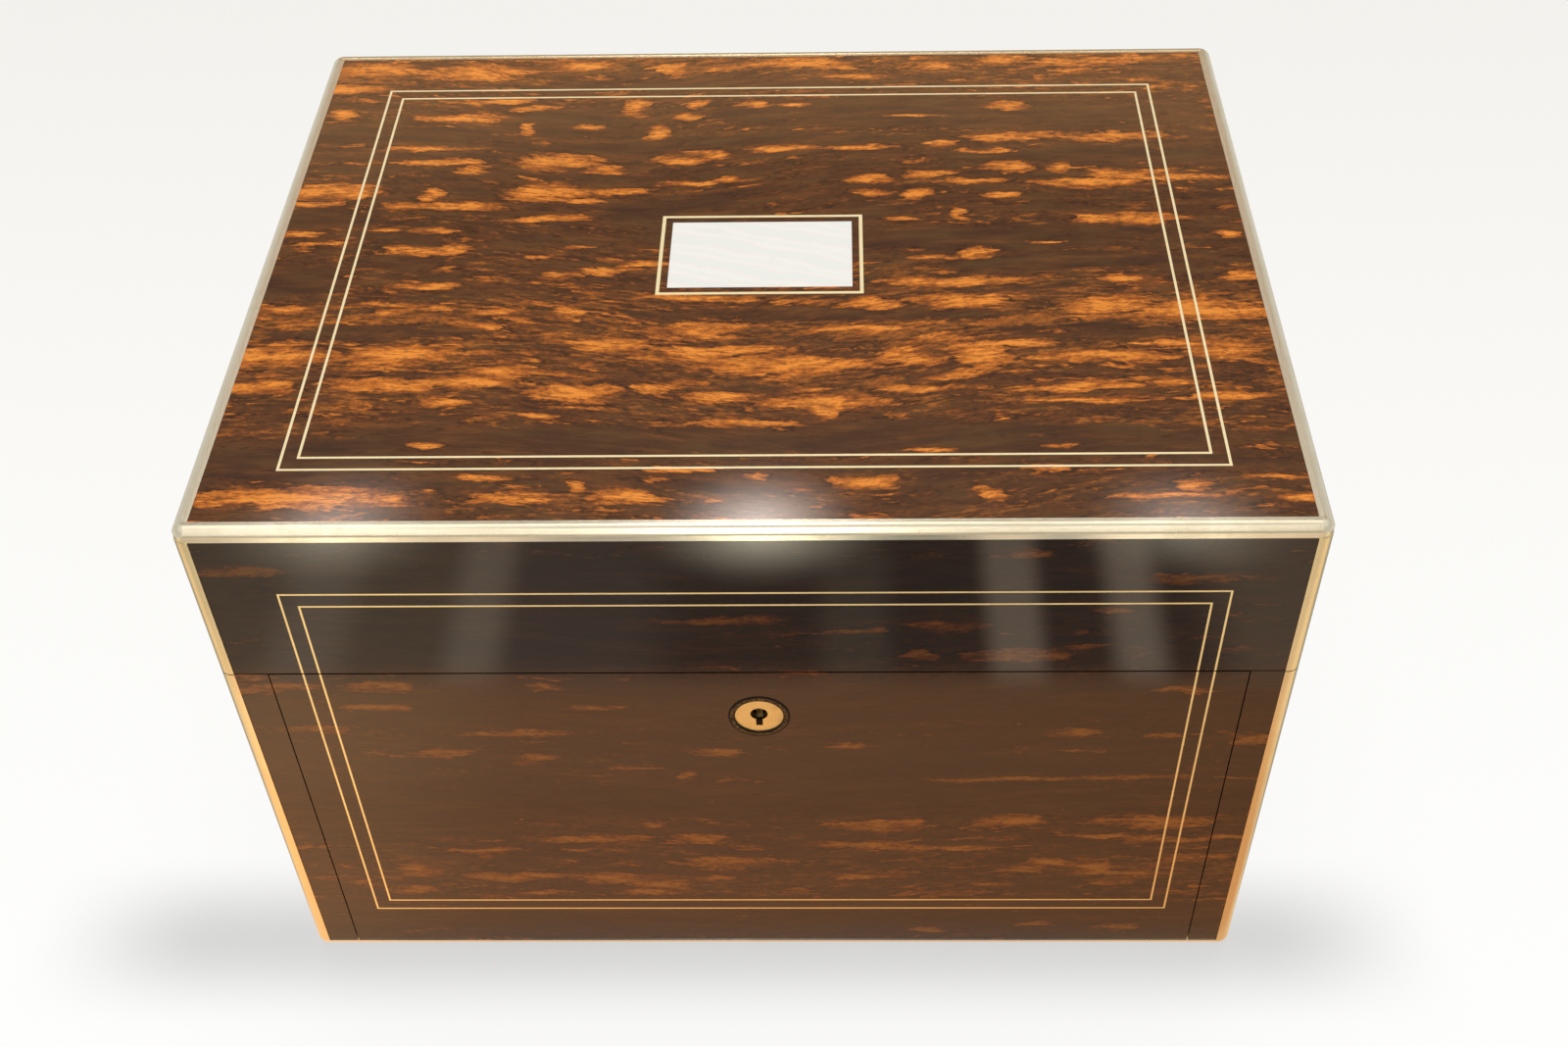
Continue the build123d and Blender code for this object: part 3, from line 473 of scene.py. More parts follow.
@dataclass(frozen=True)
class Coromandel(Finish):
    """French-polished coromandel: a near-black brown ground with flame-like orange streaks, made lighter or
    darker by height where set; the darker part is painted shade.
    """

    face: tuple[int, int] = LEVEL_FACE
    spots: tuple[Spot, ...] = ()
    calm: tuple[Spot, ...] = ()
    plenty: Levels = ((0.0, 0.5), (1.0, 0.5))
    reach: tuple[float, float] = (-127.0, 127.0)
    dip: tuple[float, float, float, float] = (0.0, 0.0, 80.0, 6.0)
    crack: Triple | None = None
    # A ramp over the height that multiplies the colour; where it darkens, it is painted shade.
    depth: Levels = ((0.0, 1.0), (1.0, 1.0))
    seed: float = 0.0

    def title(self) -> str:
        """Returns the name of the material."""
        return f"coromandel_{self.label}"

    def dress(self, graph: Graph, surface: bpy.types.Node) -> None:
        """Lays the figure on the ground, makes it lighter or darker by height and polishes it.

        Args:
            graph: The tree to write in.
            surface: The shader to fill.
        """
        point = graph.coordinates()
        across, along = [point.part(axis) for axis in self.face]
        flat = graph.join(across, along, self.seed)
        grain = self.grain(graph, across, along)
        fibres = graph.noise(grain, (6.0, 0.8, 3.0), 4.0, 0.7)
        plenty = self.abundance(graph, flat, grain, along)
        density = self.figure(graph, flat, grain, plenty, fibres)
        colour = self.streaks(graph, grain, density, plenty, self.ground(graph, grain, fibres))
        # Lighter or darker by height; where it darkens, this is painted shade.
        colour = colour.shaded(graph.ramp(self.height(along), self.depth))
        if self.crack:
            start, end, height = self.crack
            drift = graph.noise(flat, 9.0, 3.0)
            line = (along - height + (drift - 0.5) * 2.4).within(0.0, 0.12, 0.08)
            reach = across.within((start + end) / 2, (end - start) / 2, 2.0)
            colour = colour.over((0.02, 0.009, 0.004), line * reach * 0.85)
        pores = graph.noise(flat, (9.0, 0.3, 1.0), 2.0).step(0.58, 0.74)
        colour = colour.shaded(1 - pores * 0.3)
        swell = graph.noise(flat, 30.0, 1.0)
        normal = graph.bump(swell - pores * 0.004, 0.5, 0.05)
        polish = {"Specular IOR Level": 0.1, "Coat Weight": 1.0, "Coat Roughness": 0.05, "Coat IOR": 1.5}
        graph.coat(surface, colour, 0.42 + pores * 0.14, normal, polish)

    def height(self, along: Value) -> Value:
        """Returns how far up the reach of the figure a point is, from 0 to 1."""
        low, high = self.reach
        return ((along - low) / (high - low)).clamped()

    def grain(self, graph: Graph, across: Value, along: Value) -> Place:
        """Bends the grain into the long dips of the figure.

        Args:
            graph: The tree to write in.
            across: The place across the face, in millimetres.
            along: Its height on the face, in millimetres.

        Returns:
            The point in the grain, where lines of equal height are lines of the wood.
        """
        centre, slope, reach, depth = self.dip
        offset = (across - along * slope - centre) / reach
        level = along + offset.sum("EXPONENT", 0 - offset * offset) * depth
        return graph.join(across, level, self.seed)

    def abundance(self, graph: Graph, flat: Place, grain: Place, along: Value) -> Value:
        """Says how rich in streaks the wood is here, apart from the listed ovals.

        Args:
            graph: The tree to write in.
            flat: The point on the face, in millimetres.
            grain: The point in the bent grain.
            along: Its height on the face, in millimetres.

        Returns:
            The abundance, around 0.5.
        """
        plenty: Value = graph.ramp(self.height(along), self.plenty)
        moved = graph.bend(grain, (24.0, 8.0, 8.0), (9.0, 3.0, 0.0), 2.0) - grain + flat
        for x, y, half, thick in self.calm:
            far = moved.far((x, y, self.seed), (half, thick, 1e6))
            plenty = plenty - 0.3 * (1 - far.step(0.6, 1.35))
        return plenty.most(0.0)

    def figure(self, graph: Graph, flat: Place, grain: Place, plenty: Value, fibres: Value) -> Value:
        """Says how strong the streaks are.

        Args:
            graph: The tree to write in.
            flat: The point on the face, in millimetres.
            grain: The point in the bent grain.
            plenty: How rich the wood is in streaks here.
            fibres: The fine pattern of the fibres.

        Returns:
            The strength: below 0 on the ground, and about 1 in the heart of a streak.
        """
        coarse = graph.bend(grain, (19.0, 7.0, 8.0), (7.0, 2.4, 0.0), 1.0) - grain
        fine = graph.bend(grain, (4.2, 1.6, 3.0), (2.4, 0.8, 0.0), 3.0) - grain
        push = coarse + fine
        drift = graph.noise(grain + push, (22.0, 3.8, 8.0), 5.0, 0.6)
        flecks = graph.noise(grain + coarse, (6.0, 1.5, 3.0), 3.0, 0.6)
        fray = (flecks - 0.5) * 2.6 + (fibres - 0.5) * 0.4
        wild = ((drift - 0.6) * 8.0 + fray * 1.4 + (plenty - 0.5) * 3.0).least(0.9)
        if not self.spots:
            return wild
        nearest = None
        moved = flat + push
        for x, y, half, thick in self.spots:
            far = moved.far((x, y, self.seed), (half, thick, 1e6))
            nearest = far if nearest is None else nearest.least(far)
        hand = ((1.12 - nearest) * 2.6).most(-2.0) + (drift - 0.5) * 4.4 + fray * 1.4
        return hand.most(wild)

    def ground(self, graph: Graph, grain: Place, fibres: Value) -> Tint:
        """Makes the dark ground with its long soft bands.

        Args:
            graph: The tree to write in.
            grain: The point in the bent grain, in millimetres.
            fibres: The fine pattern of the fibres.

        Returns:
            The colour of the ground.
        """
        bands = graph.noise(grain, (34.0, 5.0, 20.0), 5.0, 0.66) + (fibres - 0.5) * 0.24
        stops = (
            (0.32, (0.046, 0.0175, 0.0072)),
            (0.46, (0.070, 0.0265, 0.0095)),
            (0.57, (0.100, 0.0380, 0.0120)),
            (0.70, (0.180, 0.0630, 0.0150)),
        )
        ground = graph.ramp(bands, stops)
        olive = graph.noise(grain, (26.0, 8.0, 14.0), 4.0, 0.6).step(0.46, 0.66)
        return ground.over((0.112, 0.058, 0.018), olive * 0.45)

    def streaks(self, graph: Graph, grain: Place, density: Value, plenty: Value, ground: Tint) -> Tint:
        """Lays the streaks on the ground.

        Args:
            graph: The tree to write in.
            grain: The point in the bent grain, in millimetres.
            density: The strength of the streaks.
            plenty: How rich the wood is in streaks here.
            ground: The colour of the ground.

        Returns:
            The colour of the wood.
        """
        stops = (
            (0.0, (0.17, 0.050, 0.011)),
            (0.22, (0.29, 0.080, 0.014)),
            (0.45, (0.46, 0.130, 0.019)),
            (0.75, (0.70, 0.215, 0.029)),
            (1.0, (0.88, 0.30, 0.044)),
        )
        mottled = graph.bend(grain, (6.0, 3.0, 4.0), (2.0, 1.0, 0.0), 1.0)
        mottle = graph.noise(mottled, (2.4, 1.25, 3.0), 3.0, 0.6)
        glow = graph.noise(grain, (12.0, 3.6, 5.0), 2.0)
        cluster = graph.noise(grain, (38.0, 13.0, 20.0), 2.0)
        frayed = graph.bend(grain, (7.0, 3.0, 5.0), (3.0, 1.2, 0.0), 2.0)
        small = graph.noise(frayed, (8.0, 1.6, 4.0), 4.0, 0.62)
        rich = (plenty - 0.5) * 5.0
        faint = (small - 0.54) * 9.0 + (cluster - 0.5) * 5.0 + density.most(-2.0) * 0.35 + rich + 0.25
        faint = faint.step(0.0, 1.5)
        warm = (density + rich * 0.4).step(-2.2, 0.0) * mottle.step(0.36, 0.58)
        rim = density.within(-0.34, 0.42, 0.34) * glow.step(0.40, 0.56)
        near = ground.over((0.215, 0.066, 0.0150), warm * 0.55)
        small_flame = graph.ramp(mottle, ((0.35, (0.22, 0.072, 0.015)), (0.62, (0.52, 0.165, 0.026))))
        near = near.over(small_flame, faint * 0.72)
        near = near.shaded(1 - rim * 0.5)
        threads = abs(graph.noise(grain, (15.0, 2.4, 6.0), 4.0, 0.6) - 0.5).step(0.0, 0.045)
        level = density * 0.3 + (mottle - 0.5) * 1.5 + (glow - 0.5) * 1.7 + 0.08 + threads * 0.2
        flame = graph.ramp(level, stops)
        return near.over(flame, density.step(-0.22, 0.46) * (0.45 + threads * 0.55))


@dataclass(frozen=True)
class Metal(Finish):
    """Polished metal with fine rubbing marks and some tarnish, and painted shade in the eye of a keyhole
    where that is set.

    Attributes:
        tone: The colour of the clean metal.
        worn: The colour of the tarnish.
        marks: The size of the rubbing marks along each axis, in millimetres.
        gloss: The roughness between the marks.
        tarnish: How much of the tarnish shows.
        keyhole_shade_radius: How wide the painted shade in the eye of the keyhole is, in millimetres, or 0
            for none.
        bare: How metallic it is: less where old lacquer covers it.
    """

    tone: Triple = (0.86, 0.72, 0.46)
    worn: Triple = (0.72, 0.55, 0.32)
    marks: Triple = (30.0, 0.3, 0.3)
    gloss: float = 0.2
    tarnish: float = 0.4
    keyhole_shade_radius: float = 0.0
    bare: float = 1.0

    def dress(self, graph: Graph, surface: bpy.types.Node) -> None:
        """Rubs the metal along its marks, darkens it with tarnish in places and paints shade into the eye of
        the keyhole.

        Args:
            graph: The tree to write in.
            surface: The shader to fill.
        """
        point = graph.coordinates()
        rubbed = graph.noise(point, self.marks, 3.0, 0.6)
        clouds = graph.noise(point, 11.0, 4.0, 0.6).step(0.42, 0.72)
        specks = graph.noise(point, 1.1, 2.0).step(0.66, 0.78)
        colour = graph.mix(clouds * self.tarnish, self.tone, self.worn)
        colour = colour.shaded(0.94 + rubbed * 0.12 - specks * self.tarnish * 0.3)
        # Painted shade: inside the eye of the keyhole the metal is darkened almost to black, as the hole
        # would be in shadow.
        if self.keyhole_shade_radius:
            reach = ((point - KEYHOLE_EYE) * (1.0, 0.0, 1.0)).length()
            behind = point.part(1).step(*KEYHOLE_PLATE_BACK)
            clear = reach.step(self.keyhole_shade_radius - 0.08, self.keyhole_shade_radius + 0.08).most(behind)
            colour = colour.shaded(0.04 + clear * 0.96)
        roughness = self.gloss + (rubbed - 0.5) * 0.16 + clouds * 0.08 * self.tarnish + specks * 0.12
        graph.coat(surface, colour, roughness, graph.bump(rubbed, 0.25, 0.02), {"Metallic": self.bare})


@dataclass(frozen=True)
class Ring(Finish):
    """Blackened brass turned in rings round the keyhole."""

    centre: Triple = (0.0, 0.0, 132.1)
    inner: float = 7.6
    outer: float = 9.75

    def dress(self, graph: Graph, surface: bpy.types.Node) -> None:
        """Blackens the ring and leaves a worn line on its crest.

        Args:
            graph: The tree to write in.
            surface: The shader to fill.
        """
        point = graph.coordinates()
        reach = ((point - self.centre) * (1.0, 0.0, 1.0)).length()
        share = (reach - self.inner) / (self.outer - self.inner)
        rubbed = graph.noise(point, 0.9, 3.0)
        crest = share.within(0.46, 0.24, 0.14) * rubbed.step(0.34, 0.66)
        colour = graph.mix(crest, (0.024, 0.020, 0.015), (0.19, 0.145, 0.085))
        graph.coat(surface, colour, 0.34 + rubbed * 0.12, graph.bump(rubbed, 0.3, 0.03), {"Metallic": 1.0})


@dataclass(frozen=True)
class Pearl(Finish):
    """Mother of pearl: pale bands that turn faintly pink and green."""

    def dress(self, graph: Graph, surface: bpy.types.Node) -> None:
        """Lays the bands of the shell.

        Args:
            graph: The tree to write in.
            surface: The shader to fill.
        """
        point = graph.coordinates()
        bent = graph.bend(point, (18.0, 12.0, 10.0), (6.0, 4.0, 0.0), 2.0)
        bands = (bent.part(0) * 0.16 + bent.part(1) * 0.55).wave() * 0.5 + 0.5
        stops = (
            (0.0, (0.90, 0.89, 0.84)),
            (0.35, (0.98, 0.97, 0.93)),
            (0.6, (0.96, 0.92, 0.90)),
            (0.8, (0.91, 0.94, 0.90)),
            (1.0, (0.98, 0.98, 0.95)),
        )
        cloud = graph.noise(bent, (9.0, 3.0, 5.0), 4.0)
        colour = graph.ramp(bands * 0.6 + cloud * 0.4, stops)
        gloss = {"Coat Weight": 0.6, "Coat Roughness": 0.08}
        graph.coat(surface, colour, 0.24 + cloud * 0.12, graph.bump(cloud, 0.2, 0.03), gloss)


@dataclass(frozen=True)
class Timber(Finish):
    """Plain wood with long grain, pores and some figure."""

    pale: Triple = (0.30, 0.14, 0.06)
    dark: Triple = (0.16, 0.065, 0.028)
    run: int = 0
    polish: float = 0.3
    gloss: float = 0.42

    def dress(self, graph: Graph, surface: bpy.types.Node) -> None:
        """Runs the grain along one axis.

        Args:
            graph: The tree to write in.
            surface: The shader to fill.
        """
        point = graph.coordinates()
        bent = graph.bend(point, self.grain(16.0, 160.0), (9.0, 9.0, 9.0), 2.0)
        layer = graph.noise(bent, self.grain(11.0, 400.0), 4.0, 0.62)
        rings = (layer * 26.0).wave() * 0.5 + 0.5
        fibres = graph.noise(point, self.grain(0.7, 24.0), 3.0, 0.6)
        colour = graph.mix((rings * 0.42 + layer * 0.6 + fibres * 0.6 - 0.3).clamped(), self.pale, self.dark)
        pores = graph.noise(point, self.grain(0.28, 5.0), 1.0).step(0.64, 0.74)
        colour = colour.shaded(1 - pores * 0.4)
        roughness = self.gloss + fibres * 0.12 + pores * 0.1
        normal = graph.bump(fibres - pores * 0.6, 0.35, 0.05)
        graph.coat(surface, colour, roughness, normal, {"Coat Weight": self.polish, "Coat Roughness": 0.2})

    def grain(self, across: float, along: float) -> Triple:
        """Returns the sizes of a grain that runs along the wood, in millimetres."""
        return tuple(along if axis == self.run else across for axis in range(3))


@dataclass(frozen=True)
class Velvet(Finish):
    """Silk velvet with a brushed pile."""

    tone: Triple = (0.13, 0.007, 0.014)
    light: Triple = (0.29, 0.025, 0.042)

    def dress(self, graph: Graph, surface: bpy.types.Node) -> None:
        """Brushes the pile in patches.

        Args:
            graph: The tree to write in.
            surface: The shader to fill.
        """
        point = graph.coordinates()
        patches = graph.noise(point, 22.0, 3.0).step(0.35, 0.7)
        pile = graph.noise(point, 0.45, 2.0, 0.7)
        nap = graph.noise(point, 3.0, 3.0)
        colour = graph.mix((patches * 0.35 + pile * 0.25 + nap * 0.2).clamped(), self.tone, self.light)
        sheen = {"Sheen Weight": 0.5, "Sheen Roughness": 0.35, "Sheen Tint": (0.85, 0.26, 0.28)}
        normal = graph.bump(pile + nap * 0.6, 0.6, 0.12)
        graph.coat(surface, colour, 0.78 + pile * 0.18, normal, {"Specular IOR Level": 0.2, **sheen})


@dataclass(frozen=True)
class Leather(Finish):
    """Thin polished goat leather with its pebbled grain."""

    tone: Triple = (0.20, 0.019, 0.021)
    dark: Triple = (0.085, 0.009, 0.010)
    pebbles: float = 1.5

    def dress(self, graph: Graph, surface: bpy.types.Node) -> None:
        """Presses the grain and rubs the high places.

        Args:
            graph: The tree to write in.
            surface: The shader to fill.
        """
        point = graph.bend(graph.coordinates(), 6.0, (0.8, 0.8, 0.8), 2.0)
        inputs = {"Vector": point * graph.shares(self.pebbles), "Scale": 1.0}
        edges = graph.value("ShaderNodeTexVoronoi", {"feature": "DISTANCE_TO_EDGE"}, inputs, "Distance")
        pebble = edges.step(0.0, 0.28)
        clouds = graph.noise(point, 26.0, 3.0)
        colour = graph.mix((pebble * 0.55 + clouds * 0.6 - 0.1).clamped(), self.dark, self.tone)
        gloss = {"Coat Weight": 0.15, "Coat Roughness": 0.3}
        graph.coat(surface, colour, 0.58 - pebble * 0.14, graph.bump(pebble, 0.5, 0.08), gloss)


@dataclass(frozen=True)
class Baize(Finish):
    """Green wool baize, matted and a little worn."""

    tone: Triple = (0.035, 0.105, 0.055)
    light: Triple = (0.085, 0.19, 0.105)

    def dress(self, graph: Graph, surface: bpy.types.Node) -> None:
        """Mats the wool.

        Args:
            graph: The tree to write in.
            surface: The shader to fill.
        """
        point = graph.coordinates()
        wool = graph.noise(point, 0.7, 4.0, 0.7)
        worn = graph.noise(point, (38.0, 30.0, 30.0), 3.0).step(0.45, 0.75)
        colour = graph.mix((wool * 0.7 + worn * 0.3).clamped(), self.tone, self.light)
        graph.coat(surface, colour, 0.86 + wool * 0.12, graph.bump(wool, 0.7, 0.2), {"Sheen Weight": 0.25})


@dataclass(frozen=True)
class Bone(Finish):
    """Turned bone with fine darker pores along it."""

    def dress(self, graph: Graph, surface: bpy.types.Node) -> None:
        """Draws the pores and the yellowing of age.

        Args:
            graph: The tree to write in.
            surface: The shader to fill.
        """
        point = graph.coordinates()
        pores = graph.noise(point, (0.25, 3.0, 0.25), 2.0).step(0.62, 0.74)
        age = graph.noise(point, 5.0, 3.0)
        colour = graph.mix(age, (0.94, 0.82, 0.57), (0.86, 0.69, 0.42)).shaded(1 - pores * 0.3)
        gloss = {"Coat Weight": 0.3, "Coat Roughness": 0.15}
        graph.coat(surface, colour, 0.3 + pores * 0.2, graph.bump(1 - pores, 0.2, 0.04), gloss)


@dataclass(frozen=True)
class Silvering(Finish):
    """Old silvered mirror glass, faintly greyed towards its edges."""

    def dress(self, graph: Graph, surface: bpy.types.Node) -> None:
        """Silvers the glass and foxes its edges.

        Args:
            graph: The tree to write in.
            surface: The shader to fill.
        """
        point = graph.coordinates()
        side = abs(point.part(0)) / MIRROR_HALF_X
        end = abs(point.part(1)) / MIRROR_HALF_Y
        edge = side.most(end).step(0.9, 1.02)
        fox = graph.noise(point, 3.0, 4.0, 0.65).step(0.5, 0.72) * edge
        colour = graph.mix(fox, (0.84, 0.86, 0.86), (0.34, 0.31, 0.26))
        graph.fill(surface, {"Base Color": colour, "Metallic": 1.0, "Roughness": 0.03 + fox * 0.3})


COROMANDEL_TOP = Coromandel(
    "top",
    LEVEL_FACE,
    TOP_SPOTS,
    TOP_CALM,
    (
        (0.0, 0.52),
        (0.1, 0.42),
        (0.2, 0.56),
        (0.36, 0.68),
        (0.5, 0.46),
        (0.75, 0.42),
        (0.86, 0.5),
        (1.0, 0.66),
    ),
    dip=(-21.4, -0.43, 55.0, 11.0),
    crack=(-159.0, -115.0, -43.0),
)
COROMANDEL_FRONT = Coromandel(
    "front",
    UPRIGHT_FACE,
    FRONT_SPOTS,
    FRONT_CALM,
    ((0.0, 0.38), (0.15, 0.56), (0.36, 0.5), (0.5, 0.36), (0.7, 0.4), (1.0, 0.36)),
    reach=(0.0, 216.0),
    crack=(-129.0, -86.0, 74.0),
    # Lighter low on the fall front, and painted shade that darkens the lid's front above the seam.
    depth=((0.0, 1.0), (0.10, 1.45), (0.36, 1.45), (0.48, 1.0), (0.70, 1.0), (0.715, 0.62), (1.0, 0.62)),
    seed=31.0,
)
COROMANDEL_BACK = Coromandel(
    "back",
    UPRIGHT_FACE,
    plenty=((0.0, 0.66), (0.5, 0.56), (1.0, 0.68)),
    reach=(0.0, 216.0),
    seed=77.0,
)
COROMANDEL_SIDE = Coromandel(
    "side",
    END_FACE,
    plenty=((0.0, 0.62), (0.4, 0.7), (1.0, 0.58)),
    reach=(0.0, 216.0),
    seed=140.0,
)
MOULDING_BRASS = Metal("moulding_brass", (0.90, 0.84, 0.70), (0.76, 0.67, 0.49), (40.0, 0.4, 0.4), 0.21, 0.35)
RETURN_BRASS = Metal("return_brass", (0.90, 0.85, 0.73), (0.78, 0.70, 0.54), (0.4, 40.0, 0.4), 0.32, 0.35)
STRIP_BRASS = Metal("strip_brass", (0.84, 0.76, 0.52), (0.74, 0.62, 0.38), (0.4, 0.4, 40.0), 0.26, 0.4)
LINE_BRASS = Metal("line_brass", (0.98, 0.86, 0.50), (0.84, 0.69, 0.36), (6.0, 6.0, 6.0), 0.46, 0.35)
TOP_LINE_BRASS = Metal(
    "top_line_brass",
    (1.0, 0.86, 0.54),
    (0.95, 0.76, 0.42),
    (6.0, 6.0, 6.0),
    gloss=0.4,
    tarnish=0.35,
    bare=0.35,
)
FITTING_BRASS = Metal("fitting_brass", (0.92, 0.76, 0.46), (0.74, 0.57, 0.32), (12.0, 0.4, 0.4), 0.34, 0.3)
# The keyhole plate and the lock case get painted shade in the eye of the keyhole.
KEY_BRASS = Metal("key_brass", (0.86, 0.71, 0.33), (0.56, 0.43, 0.19), (0.5, 0.5, 0.5), 0.36, 0.8, keyhole_shade_radius=2.72)
LOCK_BRASS = Metal("lock_brass", (0.92, 0.76, 0.46), (0.74, 0.57, 0.32), (12.0, 0.4, 0.4), 0.34, 0.3, keyhole_shade_radius=3.6)
RING_BRASS = Ring("ring_brass")
STEEL = Metal("steel", (0.48, 0.48, 0.49), (0.34, 0.32, 0.30), (8.0, 0.3, 0.3), 0.26, 0.5)
GILT = Metal("gilt", (0.92, 0.68, 0.28), (0.70, 0.46, 0.16), (2.0, 2.0, 2.0), 0.3, 0.5)
CARCASS = Timber("carcass", (0.30, 0.15, 0.07), (0.17, 0.075, 0.035), 0, 0.15, 0.45)
CARCASS_SIDE = Timber("carcass_side", (0.30, 0.15, 0.07), (0.17, 0.075, 0.035), 1, 0.15, 0.45)
ROSEWOOD = Timber("rosewood", (0.25, 0.080, 0.030), (0.050, 0.016, 0.009), 0, 0.5, 0.32)
ROSEWOOD_SIDE = Timber("rosewood_side", (0.25, 0.080, 0.030), (0.050, 0.016, 0.009), 1, 0.5, 0.32)
PEARL = Pearl("pearl")
VELVET = Velvet("velvet")
LEATHER = Leather("leather")
BAIZE = Baize("baize")
BONE = Bone("bone")
MIRROR = Silvering("mirror")


# Mesh tools


def coat_nodes(finishes: dict[str, Finish]) -> None:
    """Gives CAD nodes their finishes.

    Args:
        finishes: The finish of each node, by the node's name.
    """
    for name, finish in finishes.items():
        material = material_of(finish)
        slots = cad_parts[name].material_slots
        for slot in slots:
            slot.material = material
        log.info("finish %s on %s", finish.label, name)


def make_piece(name: str, shape: bmesh.types.BMesh, finish: Finish) -> bpy.types.Object:
    """Turns a shape into a smooth piece of the scene.

    Args:
        name: The name of the piece.
        shape: Its mesh, which is used up.
        finish: What it is made of.

    Returns:
        The new object, at the origin.
    """
    bmesh.ops.remove_doubles(shape, verts=shape.verts, dist=1e-6)
    bmesh.ops.recalc_face_normals(shape, faces=shape.faces)
    mesh = bpy.data.meshes.new(name)
    shape.to_mesh(mesh)
    shape.free()
    mesh.shade_smooth()
    mesh.materials.append(material_of(finish))
    made = bpy.data.objects.new(name, mesh)
    bpy.context.scene.collection.objects.link(made)
    return made


@dataclass
class Lining:
    """A thin soft sheet over a flat node of the model, with eased edges and a little life in its surface.

    Attributes:
        name: The name of the piece.
        node: The node that it stands for.
        bed: The node that it lies on; not used.
        finish: What it is made of, whose label also names its material.
        held: How it is held; not used.
        upright: Whether it stands instead of lying.
        hanging: Whether its low side is the one that shows.
        cell: The size of its cells, in millimetres.
        life: How strong its ripples are, in parts of its thickness.
    """

    name: str
    node: str
    bed: str
    finish: Finish
    held: str = "laid"
    upright: bool = False
    hanging: bool = False
    cell: float = 4.0
    life: float = 0.06

    def lay(self, body: str) -> None:
        """Args:
            body: The body that it rides on.
        """
        low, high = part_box(self.node)
        corner, size = low / MM, high / MM - low / MM
        run, rise, thick = Vector((size.x, 0, 0)), Vector((0, size.y, 0)), Vector((0, 0, size.z))
        if self.upright:
            rise, thick = thick, rise
        if self.hanging:
            corner, thick = corner + thick, -thick
        made = self.build(corner, run, rise, thick)
        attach(made, body)
        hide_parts(self.node)
        log.info("lining %s", made.name)

    def build(self, corner: Vector, run: Vector, rise: Vector, thick: Vector) -> bpy.types.Object:
        """Makes the mesh of the sheet.

        Args:
            corner: Its first corner, in millimetres.
            run: Its long way.
            rise: Its short way.
            thick: Its thickness, towards the side that shows.

        Returns:
            The piece.
        """
        columns, rows = [max(4, round(way.length / self.cell)) for way in (run, rise)]
        shape = bmesh.new()
        for height in (thick * 0, thick):
            grid = [
                [
                    shape.verts.new(self.point(corner, run, rise, height, i / columns, j / rows))
                    for i in range(columns + 1)
                ]
                for j in range(rows + 1)
            ]
            for j in range(rows):
                for i in range(columns):
                    shape.faces.new((grid[j][i], grid[j][i + 1], grid[j + 1][i + 1], grid[j + 1][i]))
        return make_piece(self.name, shape, self.finish)

    def point(self, corner: Vector, run: Vector, rise: Vector, height: Vector, u: float, v: float) -> Vector:
        """Finds one point of the sheet.

        Args:
            corner: Its first corner, in millimetres.
            run: Its long way.
            rise: Its short way.
            height: How far the point stands off the bed where the sheet is full.
            u: How far along the run, from 0 to 1.
            v: How far along the rise, from 0 to 1.

        Returns:
            The point in metres.
        """
        edge = min(u, 1 - u) * run.length, min(v, 1 - v) * rise.length
        ease = min(1.0, min(edge) / (1.5 * height.length + 0.2))
        (run_u, run_v), (rise_u, rise_v) = RIPPLES
        ripple = math.sin(u * run_u + v * run_v) * math.sin(v * rise_v - u * rise_u) * self.life
        full = (1 - self.life * 1.2 + ripple) * math.sqrt(ease)
        return (corner + run * u + rise * v + height * full) * MM


